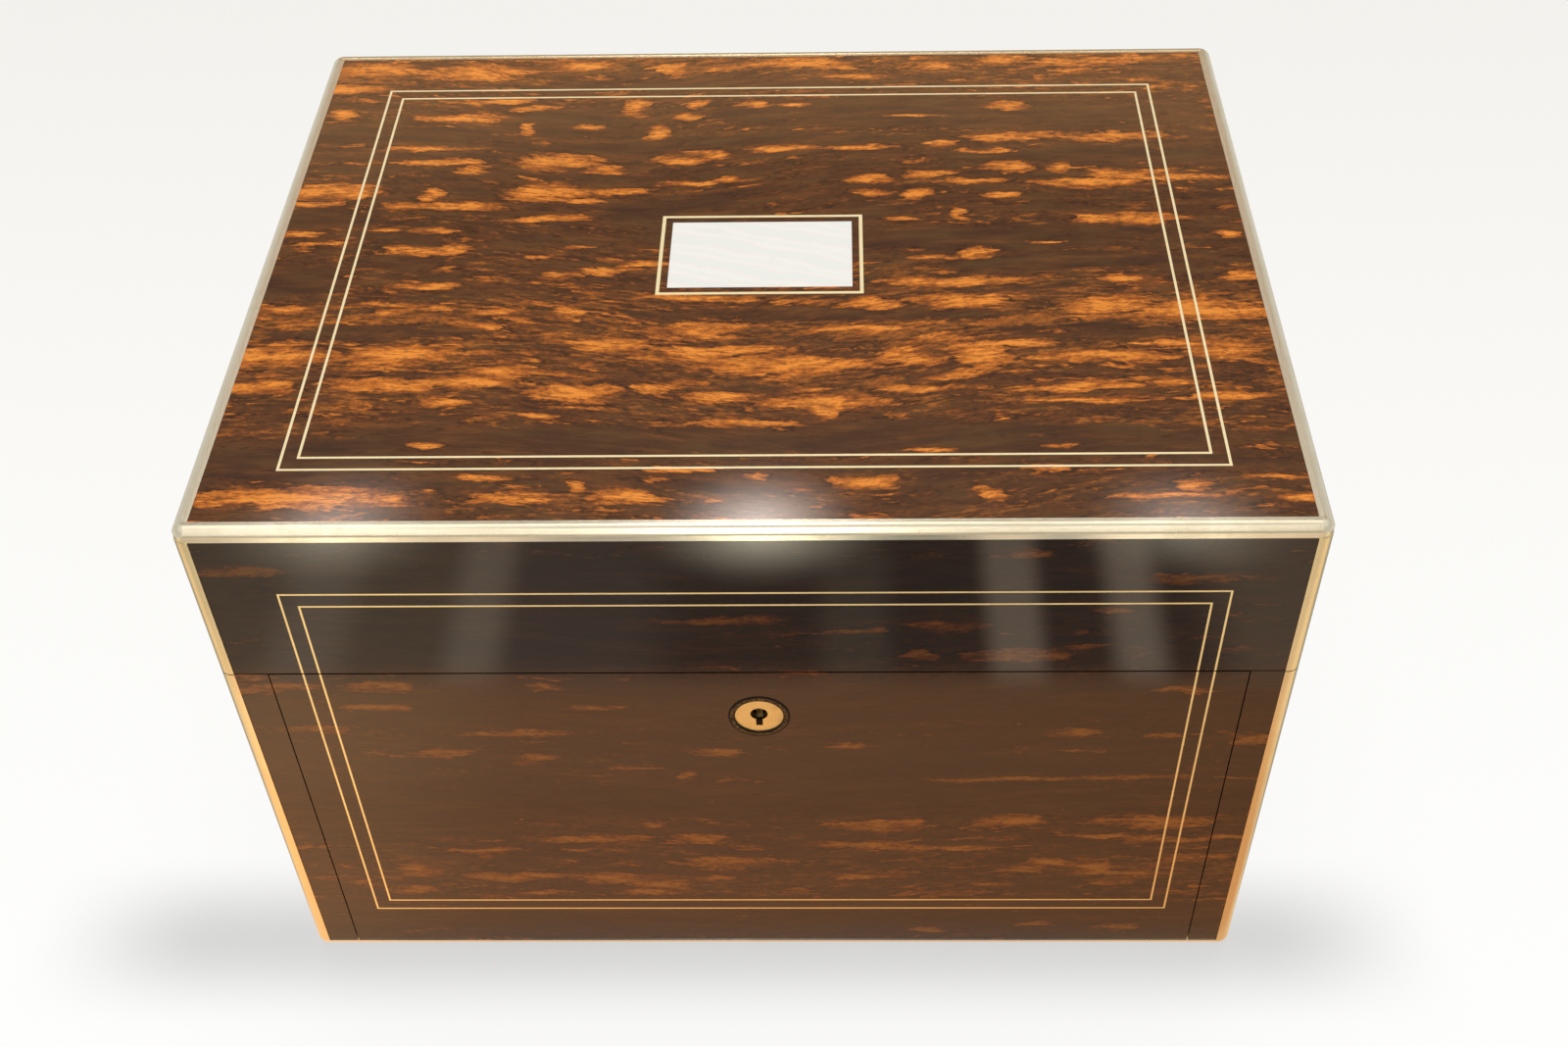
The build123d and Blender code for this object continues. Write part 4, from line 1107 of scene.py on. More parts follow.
class Scatter:
    """A Geometry Nodes tree that sets one small shape at many points."""

    def __init__(self, name: str, sockets: dict[str, str]) -> None:
        """Opens the tree.

        Args:
            name: The name of the tree.
            sockets: The kind of each of its own inputs, by name.
        """
        self.tree = bpy.data.node_groups.new(name, "GeometryNodeTree")
        face = self.tree.interface
        shared = {"Shape": "Object", "Seed": "Int", "Finish": "Material"}
        for label, kind in (sockets | shared).items():
            face.new_socket(label, in_out="INPUT", socket_type=f"NodeSocket{kind}")
        face.new_socket("Made", in_out="OUTPUT", socket_type="NodeSocketGeometry")
        self.graph = Graph(self.tree)
        start = self.graph.node("NodeGroupInput")
        self.given = {socket.name: Value(self.graph, socket) for socket in start.outputs}

    def chance(self, low: float, high: float) -> Value:
        """Adds a seeded random number.

        Args:
            low: The least that it can be.
            high: The most that it can be.

        Returns:
            The number.
        """
        made = self.graph.node("FunctionNodeRandomValue", {"data_type": "FLOAT"})
        sockets = {socket.name: socket for socket in made.inputs if socket.enabled}
        for name, value in {"Min": low, "Max": high, "Seed": self.given["Seed"]}.items():
            self.graph.feed(sockets[name], value)
        return Value(self.graph, next(socket for socket in made.outputs if socket.enabled))

    def upright(self, facing: Any) -> Value:
        """Adds a rotation that turns the top of the shape towards a direction."""
        return self.graph.value("FunctionNodeAlignRotationToVector", {"axis": "Z"}, {"Vector": facing})

    def spread(self, points: Value, turned: Value, size: Any) -> None:
        """Sets the shape at the points and closes the tree.

        Args:
            points: Where the shape is set.
            turned: Which way each one looks.
            size: How large each one is.
        """
        graph = self.graph
        own = {"transform_space": "ORIGINAL"}
        source = graph.value("GeometryNodeObjectInfo", own, {0: self.given["Shape"]}, "Geometry")
        inputs = {"Points": points, "Instance": source, "Rotation": turned, "Scale": size}
        row = graph.value("GeometryNodeInstanceOnPoints", {}, inputs)
        inputs = {"Geometry": graph.value("GeometryNodeRealizeInstances", {}, {0: row})}
        inputs["Material"] = self.given["Finish"]
        graph.node("NodeGroupOutput", {}, {0: graph.value("GeometryNodeSetMaterial", {}, inputs)})

    def settle(self, name: str, mesh: bpy.types.Mesh, values: Settings, finish: Finish) -> bpy.types.Object:
        """Runs the tree once and keeps its result as a plain mesh.

        Args:
            name: The name of the piece.
            mesh: What goes into the tree.
            values: What its named inputs get.
            finish: What the piece is made of.

        Returns:
            The piece, with no modifier left on it.
        """
        holder = bpy.data.objects.new(f"{name}_path", mesh)
        bpy.context.scene.collection.objects.link(holder)
        modifier = holder.modifiers.new("nodes", "NODES")
        modifier.node_group = self.tree
        values = values | {"Finish": material_of(finish)}
        for item in self.tree.interface.items_tree:
            if item.item_type == "SOCKET" and item.in_out == "INPUT" and item.name in values:
                modifier[item.identifier] = values[item.name]
        result = kept_mesh(holder)
        bpy.data.objects.remove(holder)
        result.name = name
        result.materials.clear()
        result.materials.append(material_of(finish))
        made = bpy.data.objects.new(name, result)
        bpy.context.scene.collection.objects.link(made)
        return made


def kept_mesh(holder: bpy.types.Object) -> bpy.types.Mesh:
    """Takes an object's modifiers off.

    Args:
        holder: The object.

    Returns:
        A new mesh with what they made of it.
    """
    evaluated = holder.evaluated_get(bpy.context.evaluated_depsgraph_get())
    result = bpy.data.meshes.new_from_object(evaluated)
    holder.modifiers.clear()
    return result


class PathRow(Scatter):
    """A row of small gilt shapes set at even steps along a closed path."""

    smallest = 0.95
    largest = 1.05
    seed = 7

    def __init__(self) -> None:
        """Builds the tree."""
        super().__init__("gilt_row", {"Path": "Geometry", "Step": "Float", "Facing": "Vector"})
        graph = self.graph
        curve = graph.value("GeometryNodeMeshToCurve", {}, {0: self.given["Path"]})
        inputs = {"Curve": curve, "Length": self.given["Step"]}
        even = graph.value("GeometryNodeResampleCurve", {"mode": "LENGTH"}, inputs)
        tangent = graph.value("GeometryNodeInputTangent", {}, {})
        inputs = {"Rotation": self.upright(self.given["Facing"]), "Vector": tangent}
        turned = graph.value("FunctionNodeAlignRotationToVector", {"axis": "X", "pivot_axis": "Z"}, inputs)
        self.spread(even, turned, self.chance(self.smallest, self.largest))

    def lay(
        self,
        name: str,
        corners: list[Vector],
        shape: bpy.types.Object,
        step: float,
        facing: Triple,
    ) -> bpy.types.Object:
        """Lays one row round a closed path.

        Args:
            name: The name of the piece.
            corners: The path, in millimetres.
            shape: What is repeated.
            step: The distance between two of them, in millimetres.
            facing: The way they look.

        Returns:
            The piece, as a plain mesh.
        """
        path = bpy.data.meshes.new(name)
        count = len(corners)
        edges = [(i, (i + 1) % count) for i in range(count)]
        path.from_pydata([corner * MM for corner in corners], edges, [])
        values = {"Shape": shape, "Step": step * MM, "Facing": Vector(facing), "Seed": self.seed}
        return self.settle(name, path, values, GILT)


class ScrewSet(Scatter):
    """Slotted screw heads set at marked points, each turned its own way."""

    def __init__(self) -> None:
        """Builds the tree."""
        super().__init__("screw_set", {"Places": "Geometry"})
        graph = self.graph
        facing = graph.value("GeometryNodeInputNamedAttribute", {"data_type": "FLOAT_VECTOR"}, {0: "facing"})
        inputs = {"Axis": UP, "Angle": self.chance(0.0, math.pi)}
        spin = graph.value("FunctionNodeAxisAngleToRotation", {}, inputs)
        inputs = {"Rotation": self.upright(facing), "Rotate By": spin}
        turned = graph.value("FunctionNodeRotateRotation", {"rotation_space": "LOCAL"}, inputs)
        self.spread(self.given["Places"], turned, (1.0, 1.0, 1.0))

    def drive(
        self,
        name: str,
        places: list[tuple[Triple, Triple]],
        screw: bpy.types.Object,
        seed: int,
    ) -> bpy.types.Object:
        """Sets the screws of one body.

        Args:
            name: The name of the piece.
            places: The middle of each head, in millimetres, and the way that it faces.
            screw: The screw that is repeated.
            seed: The seed of the way their slots lie.

        Returns:
            The piece, as a plain mesh.
        """
        points = bpy.data.meshes.new(name)
        points.from_pydata([Vector(place) * MM for place, _ in places], [], [])
        facing = points.attributes.new("facing", "FLOAT_VECTOR", "POINT")
        facing.data.foreach_set("vector", [part for _, way in places for part in way])
        return self.settle(name, points, {"Shape": screw, "Seed": seed}, STEEL)


# The sub-assemblies


@dataclass
class Fixings:
    """The screws and the small gilt shapes that several bodies use, with sizes in millimetres."""

    head_radius: float = 2.15
    head_depth: float = 1.15
    slot_width: float = 0.5
    slot_depth: float = 0.45
    rim_height: float = 0.12
    rim_share: float = 0.93
    foot_share: float = 0.49
    shank_radius: float = 1.05
    shank_length: float = 6.0
    shank_taper: float = 0.6
    screw_sides: int = 20
    bead_sides: int = 8

    def screw(self) -> bpy.types.Object:
        """Turns one countersunk screw with a cut slot and an eased rim.

        Returns:
            The screw, looking up, with its head's face at the origin.
        """
        shape = bmesh.new()
        half = self.slot_width / 2
        sides = self.screw_sides
        start = math.asin(half / self.head_radius)
        angles = [start + (math.pi - 2 * start) * i / sides for i in range(sides + 1)]
        for side in (-1, 1):
            rim = [(math.cos(a) * self.head_radius, side * math.sin(a) * self.head_radius) for a in angles]
            inner = [(x * self.rim_share, side * max(half, abs(y) * self.rim_share)) for x, y in rim]
            low = self.points(shape, rim, -self.rim_height)
            top = self.points(shape, inner, 0.0)
            narrow = [(x * self.foot_share, y * self.foot_share) for x, y in rim]
            foot = self.points(shape, narrow, -self.head_depth)
            for i in range(sides):
                shape.faces.new((low[i], low[i + 1], top[i + 1], top[i]))
                shape.faces.new((foot[i], foot[i + 1], low[i + 1], low[i]))
            shape.faces.new(top)
            ends = [(inner[0][0], side * half), (inner[-1][0], side * half)]
            wall = self.points(shape, ends, -self.slot_depth)
            shape.faces.new((top[0], top[-1], wall[1], wall[0]))
        reach = math.sqrt(self.head_radius**2 - half**2) * 0.97
        floor = [(-reach, -half), (reach, -half), (reach, half), (-reach, half)]
        shape.faces.new(self.points(shape, floor, -self.slot_depth))
        bmesh.ops.create_cone(
            shape,
            cap_ends=True,
            segments=16,
            radius1=self.shank_radius * MM * self.shank_taper,
            radius2=self.shank_radius * MM,
            depth=self.shank_length * MM,
        )
        for vert in shape.verts:
            if abs(vert.co.z) > (self.shank_length / 2 - 0.1) * MM:
                vert.co.z -= (self.shank_length / 2 + self.head_depth) * MM
        return make_piece("screw_pattern", shape, STEEL)

    @staticmethod
    def points(
        shape: bmesh.types.BMesh,
        flat: list[tuple[float, float]],
        height: float,
    ) -> list[bmesh.types.BMVert]:
        """Adds points at one height.

        Args:
            shape: The mesh to add to.
            flat: The two other coordinates of each point, in millimetres.
            height: The height, in millimetres.

        Returns:
            The new points.
        """
        return [shape.verts.new((x * MM, y * MM, height * MM)) for x, y in flat]

    def bead(self, radius: float, length: float, height: float) -> bpy.types.Object:
        """Makes one low domed bead.

        Args:
            radius: Half its width, in millimetres.
            length: Half its length, in millimetres.
            height: How far it stands up, in millimetres.

        Returns:
            The bead, looking up.
        """
        shape = bmesh.new()
        sides = self.bead_sides
        turns = [2 * math.pi * i / sides for i in range(sides)]
        rings = []
        for level, share in ((0.0, 1.0), (0.7, 0.72)):
            flat = [(math.cos(turn) * length * share, math.sin(turn) * radius * share) for turn in turns]
            rings.append(self.points(shape, flat, level * height))
        top = shape.verts.new((0.0, 0.0, height * MM))
        for i in range(sides):
            j = (i + 1) % sides
            shape.faces.new((rings[0][i], rings[0][j], rings[1][j], rings[1][i]))
            shape.faces.new((rings[1][i], rings[1][j], top))
        shape.faces.new(list(reversed(rings[0])))
        return make_piece("bead_pattern", shape, GILT)


def outline(
    low: tuple[float, float],
    high: tuple[float, float],
    place: Callable[[float, float], Vector],
) -> list[Vector]:
    """Lists the corners of a rectangle.

    Args:
        low: Its lowest corner on its own plane.
        high: Its highest corner.
        place: What turns a point on the plane into a point of the box.

    Returns:
        The four corners in order.
    """
    return [place(low[0], low[1]), place(high[0], low[1]), place(high[0], high[1]), place(low[0], high[1])]


def hinge_screws(height: float, facing: Triple) -> list[tuple[Triple, Triple]]:
    """Lists the screws in the leaves of the two hinges.

    Args:
        height: The height of the leaves' faces, in millimetres.
        facing: The way that the screws look.

    Returns:
        The middle of each head, in millimetres, and the way that it faces.
    """
    return [
        ((side * HINGE_CENTRE + step * HINGE_SCREW_PITCH, HINGE_SCREW_Y, height), facing)
        for side in (-1, 1)
        for step in (-1, 0, 1)
    ]


class Body:
    """What the sub-assemblies share: finishes on nodes of the model, linings and screws.

    Attributes:
        name: The body's name.
        finishes: The finish of each node that stays in view.
        linings: The sheets that lie on it.
        screw_piece: The name of the piece that holds its screws.
        screw_node: The node that this piece stands for.
        screw_seed: The seed of the way the slots lie.
    """

    name: str
    finishes: dict[str, Finish]
    linings: tuple[Lining, ...] = ()
    screw_piece: str
    screw_node: str
    screw_seed: int

    def dress(self) -> None:
        """Gives the body's nodes their finishes."""
        coat_nodes(self.finishes)

    def line(self) -> None:
        """Lays the body's linings."""
        for lining in self.linings:
            lining.lay(self.name)

    def screw_places(self) -> list[tuple[Triple, Triple]]:
        """Lists where the screws go and the way that they face. Each body with screws has its own list."""
        raise NotImplementedError

    def drive_screws(self, kit: ScrewSet, screw: bpy.types.Object) -> None:
        """Drives the body's screws.

        Args:
            kit: The tree that sets them.
            screw: The screw to repeat.
        """
        made = kit.drive(self.screw_piece, self.screw_places(), screw, self.screw_seed)
        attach(made, self.name)
        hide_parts(self.screw_node)
        log.info("screws %s", made.name)


class Base(Body):
    """The case that stands on the table, with its baize, leather and velvet."""

    name = "base"
    finishes = {
        "bottom_board": CARCASS,
        "base_side_walls": CARCASS_SIDE,
        "base_back_wall": CARCASS,
        "base_side_veneers": COROMANDEL_SIDE,
        "base_back_veneer": COROMANDEL_BACK,
        "stile_veneers": COROMANDEL_FRONT,
        "base_corner_strips": STRIP_BRASS,
        "base_edging": MOULDING_BRASS,
        "drawer_shelf": ROSEWOOD,
        "drawer_divider": ROSEWOOD_SIDE,
        "well_floor": ROSEWOOD,
        "inner_front": ROSEWOOD,
        "long_partition": ROSEWOOD,
        "bottle_partitions": ROSEWOOD_SIDE,
        "tray_ledges": ROSEWOOD,
        "base_hinge_leaves": FITTING_BRASS,
        "hinge_pins": STEEL,
    }
    linings = (
        Lining("foot_baize", "baize", "bottom_board", BAIZE, "stretched", hanging=True, life=0.0),
        Lining("paper_compartment_leather", "paper_lining", "bottom_board", LEATHER),
        Lining("jewel_well_velvet", "jewel_well_lining", "well_floor", VELVET, cell=3.0, life=0.12),
    )
    screw_piece = "base_leaf_screws"
    screw_node = "base_hinge_screws"
    screw_seed = 11
    leaf_face = 153.3

    def screw_places(self) -> list[tuple[Triple, Triple]]:
        """Lists the screws of the hinge leaves."""
        return hinge_screws(self.leaf_face, UP)


class FallFront(Body):
    """The front of the case, which lets down, with its lock and leather."""

    name = "fall"
    finishes = {
        "fall_panel": CARCASS,
        "fall_veneer": COROMANDEL_FRONT,
        "fall_lines": LINE_BRASS,
        "fall_edging": MOULDING_BRASS,
        "pivot_plates": FITTING_BRASS,
        "escutcheon_ring": RING_BRASS,
        "keyhole_plate": KEY_BRASS,
        "lock_case": LOCK_BRASS,
        "lock_bolt": STEEL,
    }
    linings = (Lining("fall_front_leather", "fall_lining", "fall_panel", LEATHER, "stretched", upright=True),)
    screw_piece = "lock_plate_screws"
    screw_node = "lock_screws"
    screw_seed = 5
    lock_screw_x = 31.0
    lock_face = 153.1
    tooling_inset = 7.0
    tooling_pitch = 3.2
    tooling_sink = 0.1

    def screw_places(self) -> list[tuple[Triple, Triple]]:
        """Lists the screws of the lock's top plate."""
        return [((side * self.lock_screw_x, LOCK_SCREW_Y, self.lock_face), UP) for side in (-1, 1)]

    def tool(self, row: PathRow, bead: bpy.types.Object) -> None:
        """Tools a gilt border into the leather.

        Args:
            row: The tree that lays it.
            bead: The mark that is repeated.
        """
        low, high = [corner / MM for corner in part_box("fall_lining")]
        inset = self.tooling_inset
        face = high.y - self.tooling_sink
        corners = outline(
            (low.x + inset, low.z + inset),
            (high.x - inset, high.z - inset),
            lambda x, z: Vector((x, face, z)),
        )
        made = row.lay("fall_gilt_tooling", corners, bead, self.tooling_pitch, (0.0, 1.0, 0.0))
        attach(made, self.name)
        log.info("tooling %s", made.name)


class Lid(Body):
    """The lid with its veneers, brass, lining and mirror."""

    name = "lid"
    finishes = {
        "lid_top_board": CARCASS,
        "lid_front_wall": CARCASS,
        "lid_back_wall": CARCASS,
        "lid_side_walls": CARCASS_SIDE,
        "lid_top_veneer": COROMANDEL_TOP,
        "lid_front_veneer": COROMANDEL_FRONT,
        "lid_back_veneer": COROMANDEL_BACK,
        "lid_side_veneers": COROMANDEL_SIDE,
        "lid_long_mouldings": MOULDING_BRASS,
        "lid_short_mouldings": RETURN_BRASS,
        "lid_corner_strips": STRIP_BRASS,
        "lid_top_lines": TOP_LINE_BRASS,
        "lid_front_lines": LINE_BRASS,
        "plaque_border": TOP_LINE_BRASS,
        "plaque": PEARL,
        "link_plate": FITTING_BRASS,
        "lid_hinge_leaves": FITTING_BRASS,
        "mirror_frame": ROSEWOOD,
        "mirror_glass": MIRROR,
    }
    screw_piece = "lid_leaf_screws"
    screw_node = "lid_screws"
    screw_seed = 23
    link_screw_x = 19.5
    low_face = 153.7
    lining_thick = 0.75
    lining_ease = 0.7
    ripple_depth = 0.12
    ripple_turn = 0.9
    lining_levels = 14
    lining_steps = (60, 45)
    bead_offset = 3.0
    bead_pitch = 2.6

    def line(self) -> None:
        """Lines the inside of the lid's walls with velvet."""
        low, high = [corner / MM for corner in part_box("lid_lining")]
        wide, deep, tall = high.x - low.x, high.y - low.y, high.z - low.z
        shape = bmesh.new()
        thick, levels = self.lining_thick, self.lining_levels
        corners = [(low.x, low.y), (high.x, low.y), (high.x, high.y), (low.x, high.y)]
        rings = []
        for outer in (True, False):
            for level in range(levels + 1):
                share = level / levels
                ease = 1.0 - self.lining_ease * max(0.0, 1 - min(share, 1 - share) * levels) ** 2
                ring = []
                for index, (x, y) in enumerate(corners):
                    next_x, next_y = corners[(index + 1) % 4]
                    steps = self.lining_steps[index % 2]
                    for step in range(steps):
                        part = step / steps
                        px, py = x + (next_x - x) * part, y + (next_y - y) * part
                        wave = math.sin(part * steps * self.ripple_turn + index)
                        ripple = 1 - self.ripple_depth * (1 + wave) / 2
                        depth = 0.0 if outer else thick * ease * ripple
                        px -= math.copysign(depth, px) if abs(abs(px) - wide / 2) < 0.01 else 0.0
                        py -= math.copysign(depth, py) if abs(abs(py) - deep / 2) < 0.01 else 0.0
                        ring.append(shape.verts.new((px * MM, py * MM, (low.z + tall * share) * MM)))
                rings.append(ring)
        order = rings[: levels + 1] + list(reversed(rings[levels + 1 :]))
        order.append(order[0])
        for first, second in zip(order, order[1:]):
            count = len(first)
            for i in range(count):
                j = (i + 1) % count
                shape.faces.new((first[i], first[j], second[j], second[i]))
        made = make_piece("lid_wall_velvet", shape, VELVET)
        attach(made, self.name)
        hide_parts("lid_lining")
        log.info("lining %s", made.name)

    def bead_mirror(self, row: PathRow, bead: bpy.types.Object) -> None:
        """Sets a gilt beading round the mirror.

        Args:
            row: The tree that lays it.
            bead: The bead that is repeated.
        """
        low, _ = [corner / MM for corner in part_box("mirror_frame")]
        reach_x, reach_y = MIRROR_HALF_X + self.bead_offset, MIRROR_HALF_Y + self.bead_offset
        corners = outline((-reach_x, -reach_y), (reach_x, reach_y), lambda x, y: Vector((x, y, low.z)))
        made = row.lay("mirror_beading", corners, bead, self.bead_pitch, DOWN)
        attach(made, self.name)
        log.info("beading %s", made.name)

    def screw_places(self) -> list[tuple[Triple, Triple]]:
        """Lists the screws of the hinge leaves and of the link plate."""
        link = [((side * self.link_screw_x, LOCK_SCREW_Y, self.low_face), DOWN) for side in (-1, 1)]
        return hinge_screws(self.low_face, DOWN) + link


class Tray(Body):
    """The lift-out tray and its velvet ring pad."""

    name = "tray"
    finishes = {"tray": ROSEWOOD}
    roll = 18.0
    swell_cap = 1.6
    shrink = 1.2
    voxel = 5.0
    frames = 20
    pressure = 4.0
    roll_round = 2.6
    roll_dip = 0.42
    roll_rise = 0.58
    fullness = 1.05
    fill = 0.8

    def build_pad(self) -> bpy.types.Object:
        """Stuffs the ring pad and ties it into rolls.

        Returns:
            The pad.
        """
        low, high = [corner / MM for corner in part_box("ring_pad")]
        shape = bmesh.new()
        bmesh.ops.create_cube(shape, size=1.0)
        size = high - low - Vector((2 * self.shrink, 2 * self.shrink, 1.5 * self.shrink))
        middle = (low + high) / 2 - Vector((0.0, 0.0, 0.75 * self.shrink))
        for vert in shape.verts:
            vert.co = (middle + Vector(tuple(a * b for a, b in zip(vert.co, size)))) * MM
        pad = make_piece("ring_pad_velvet", shape, VELVET)
        self.remesh(pad)
        self.swell(pad)
        self.divide(pad, 2)
        self.tie(pad, low, high)
        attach(pad, self.name)
        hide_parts("ring_pad")
        log.info("pad %s", pad.name)
        return pad

    def remesh(self, pad: bpy.types.Object) -> None:
        """Divides the pad into even cells."""
        modifier = pad.modifiers.new("cells", "REMESH")
        modifier.mode = "VOXEL"
        modifier.voxel_size = self.voxel * MM
        self.apply(pad)

    def divide(self, pad: bpy.types.Object, levels: int) -> None:
        """Smooths the pad into finer cells."""
        modifier = pad.modifiers.new("finer", "SUBSURF")
        modifier.levels = levels
        modifier.render_levels = levels
        self.apply(pad)

    @staticmethod
    def apply(pad: bpy.types.Object) -> None:
        """Keeps what the modifiers make and takes them off."""
        pad.data = kept_mesh(pad)
        pad.data.shade_smooth()

    def swell(self, pad: bpy.types.Object) -> None:
        """Fills the pad by a cloth simulation.

        Args:
            pad: The pad, which takes the simulated shape.
        """
        before = [vert.co.copy() for vert in pad.data.vertices]
        modifier = pad.modifiers.new("stuffing", "CLOTH")
        modifier.settings.use_pressure = True
        modifier.settings.uniform_pressure_force = self.pressure
        modifier.settings.quality = 5
        modifier.settings.effector_weights.gravity = 0.0
        modifier.point_cache.frame_end = self.frames
        scene = bpy.context.scene
        for number in range(1, self.frames + 1):
            scene.frame_set(number)
        self.apply(pad)
        scene.frame_set(1)
        cap = self.swell_cap * MM
        for vert, start in zip(pad.data.vertices, before):
            step = vert.co - start
            if step.length > cap:
                vert.co = start + step * (cap / step.length)

    def tie(self, pad: bpy.types.Object, low: Vector, high: Vector) -> None:
        """Presses the rolls into the pad and keeps it within its tray.

        Args:
            pad: The pad.
            low: The lowest corner of its room, in millimetres.
            high: The highest corner.
        """
        count = int((high.y - low.y) // self.roll)
        cuts = [low.y] + [low.y + step * self.roll for step in range(1, count)] + [high.y]
        floor = low.z
        for vert in pad.data.vertices:
            place = vert.co / MM
            for start, end in zip(cuts, cuts[1:]):
                if start <= place.y <= end:
                    share = (place.y - start) / (end - start) * 2 - 1
                    crown = math.sqrt(max(0.0, 1 - abs(share) ** self.roll_round))
                    height = max(0.0, (place.z - floor) / (high.z - floor))
                    room = self.roll_dip + self.roll_rise * crown
                    place.z = floor + (high.z - floor) * min(height, height * room * self.fullness)
            place.x = min(max(place.x, low.x), high.x)
            place.y = min(max(place.y, low.y), high.y)
            place.z = min(max(place.z, floor), high.z)
            vert.co = place * MM


class Drawers(Body):
    """The two drawers behind the fall front."""

    finishes = {
        "left_drawer": ROSEWOOD,
        "right_drawer": ROSEWOOD,
        "left_drawer_knob": BONE,
        "right_drawer_knob": BONE,
    }


@dataclass
class Studio:
    """The camera, the floor, the lamp and what the polish mirrors.

    Attributes:
        place: Where the camera stands, in metres.
        turn: How it is turned, in degrees.
        lens: Its focal length, in millimetres.
        shift: How far its picture is shifted, in parts of the sensor.
        floor_reach: Half the width of the floor, in metres.
        lamp_place: Where the lamp hangs, in metres.
        lamp_strength: How strong the lamp is.
        lamp_spread: How wide it looks, in degrees.
        ambient: How bright the world is for soft light.
        painted_shadow_strength: How dark the painted shadow on the floor round the foot of the box is.
        painted_shadow_zone: The centre, half width and softness of that painted shadow, across and along, in
            millimetres.
        table_zone: The same for the warm table that the polish mirrors.
        dark_zone: The same for the dark room behind it.
        side_zone: The same for the grey floor beside the box, on both sides.
        paper: How much of the floor that the camera sees is plain paper white.
        warmth: The colours of the table that the polish mirrors, from left to right.
        bars: The centre, half width, softness and strength of the pale bars behind it, in millimetres.
        floor_glow: The middle and strength of each bright spot on the floor, in millimetres.
        beams: The same for the bright beams of the world, in parts of the view.
        high_glow: The same for its bright spots.
    """

    place: Triple = (0.0251, -0.4927, 0.5890)
    turn: Triple = (44.84, 1.00, 0.60)
    lens: float = 42.75
    shift: tuple[float, float] = (-0.01125, -0.0044)
    floor_reach: float = 12.0
    lamp_place: Triple = (0.0, 0.7, 3.0)
    lamp_strength: float = 2.68
    lamp_spread: float = 46.0
    ambient: float = 0.16
    painted_shadow_strength: float = 0.29
    painted_shadow_zone: Zone = ((-14.0, 226.0, 38.0), (-123.5, 19.0, 19.0))
    table_zone: Zone = ((0.0, 236.0, 50.0), (-190.0, 62.0, 12.0))
    dark_zone: Zone = ((0.0, 520.0, 200.0), (-335.0, 90.0, 14.0))
    side_zone: Zone = ((320.0, 200.0, 40.0), (60.0, 330.0, 60.0))
    paper: float = 0.9
    warmth: Stops = (
        (0.0, (2.0, 1.10, 0.54)),
        (0.18, (1.66, 0.92, 0.46)),
        (0.3, (1.26, 0.655, 0.34)),
        (0.5, (1.20, 0.61, 0.31)),
        (1.0, (0.80, 0.40, 0.18)),
    )
    bars: tuple[Spot, ...] = (
        (-128.0, 11.0, 8.0, 0.82),
        (-198.0, 15.0, 11.0, 0.574),
        (99.0, 11.0, 6.0, 0.94),
        (150.0, 10.0, 7.0, 1.0),
    )
    floor_glow: tuple[Triple, ...] = ((-9.0, -336.0, 1.0), (-201.0, -336.0, 0.5), (179.0, -336.0, 0.4))
    beams: tuple[Triple, ...] = ((-0.044, 1.0, 1.0), (-0.266, 1.0, 0.4), (0.186, 1.0, 0.3))
    high_glow: tuple[Triple, ...] = ((-0.044, 0.713, 1.0), (-0.266, 0.689, 0.45), (0.186, 0.703, 0.4))

    def build(self) -> None:
        """Sets up everything that isn't part of the box."""
        self.aim()
        self.lay_floor()
        self.light()
        self.surround()
        bpy.context.scene.view_settings.view_transform = "Standard"
        log.info("studio ready")

    def aim(self) -> None:
        """Places the camera."""
        data = bpy.data.cameras.new("camera")
        data.sensor_width = 36.0
        data.lens = self.lens
        data.shift_x, data.shift_y = self.shift
        data.clip_start = 0.01
        camera = bpy.data.objects.new("camera", data)
        camera.location = self.place
        camera.rotation_euler = tuple(math.radians(angle) for angle in self.turn)
        bpy.context.scene.collection.objects.link(camera)
        bpy.context.scene.camera = camera

    def lay_floor(self) -> None:
        """Lays a pale floor, with painted shade towards the back and a painted shadow round the foot of the
        box, that also gives the polish its reflections.
        """
        shape = bmesh.new()
        bmesh.ops.create_grid(shape, x_segments=8, y_segments=8, size=self.floor_reach)
        mesh = bpy.data.meshes.new("floor")
        shape.to_mesh(mesh)
        shape.free()
        floor = bpy.data.objects.new("floor", mesh)
        bpy.context.scene.collection.objects.link(floor)
        material = bpy.data.materials.new("floor")
        material.use_nodes = True
        material.node_tree.nodes.clear()
        graph = Graph(material.node_tree)
        point = graph.coordinates()
        x, y = point.part(0), point.part(1)
        # Painted shade: the floor is darker towards the back, where the light falls off.
        seen = graph.mix(y.step(-260.0, 700.0), (0.998, 0.996, 0.984), (0.89, 0.875, 0.84))
        # Painted shadow: the floor is darkened round the foot of the box.
        seen = seen.shaded(1 - self.zone(x, y, self.painted_shadow_zone) * self.painted_shadow_strength)
        lit = graph.value("ShaderNodeBsdfDiffuse", {}, {0: seen})
        plain = graph.value("ShaderNodeEmission", {}, {0: seen, 1: 1.0})
        paper = graph.value("ShaderNodeMixShader", {}, {0: self.paper, 1: lit, 2: plain})
        table = graph.value("ShaderNodeBsdfDiffuse", {}, {0: (0.19, 0.15, 0.12)})
        glow = graph.value("ShaderNodeEmission", {}, {0: self.mirrored(graph, x, y), 1: 1.0})
        direct, glossy = self.rays(graph)
        others = graph.value("ShaderNodeMixShader", {}, {0: glossy, 1: table, 2: glow})
        whole = graph.value("ShaderNodeMixShader", {}, {0: direct, 1: others, 2: paper})
        graph.node("ShaderNodeOutputMaterial", {}, {0: whole})
        mesh.materials.append(material)

    @staticmethod
    def zone(x: Value, y: Value, sides: Zone) -> Value:
        """Returns 1 in a rectangle of the floor and 0 beyond its soft edges."""
        across, along = sides
        return x.within(*across) * y.within(*along)

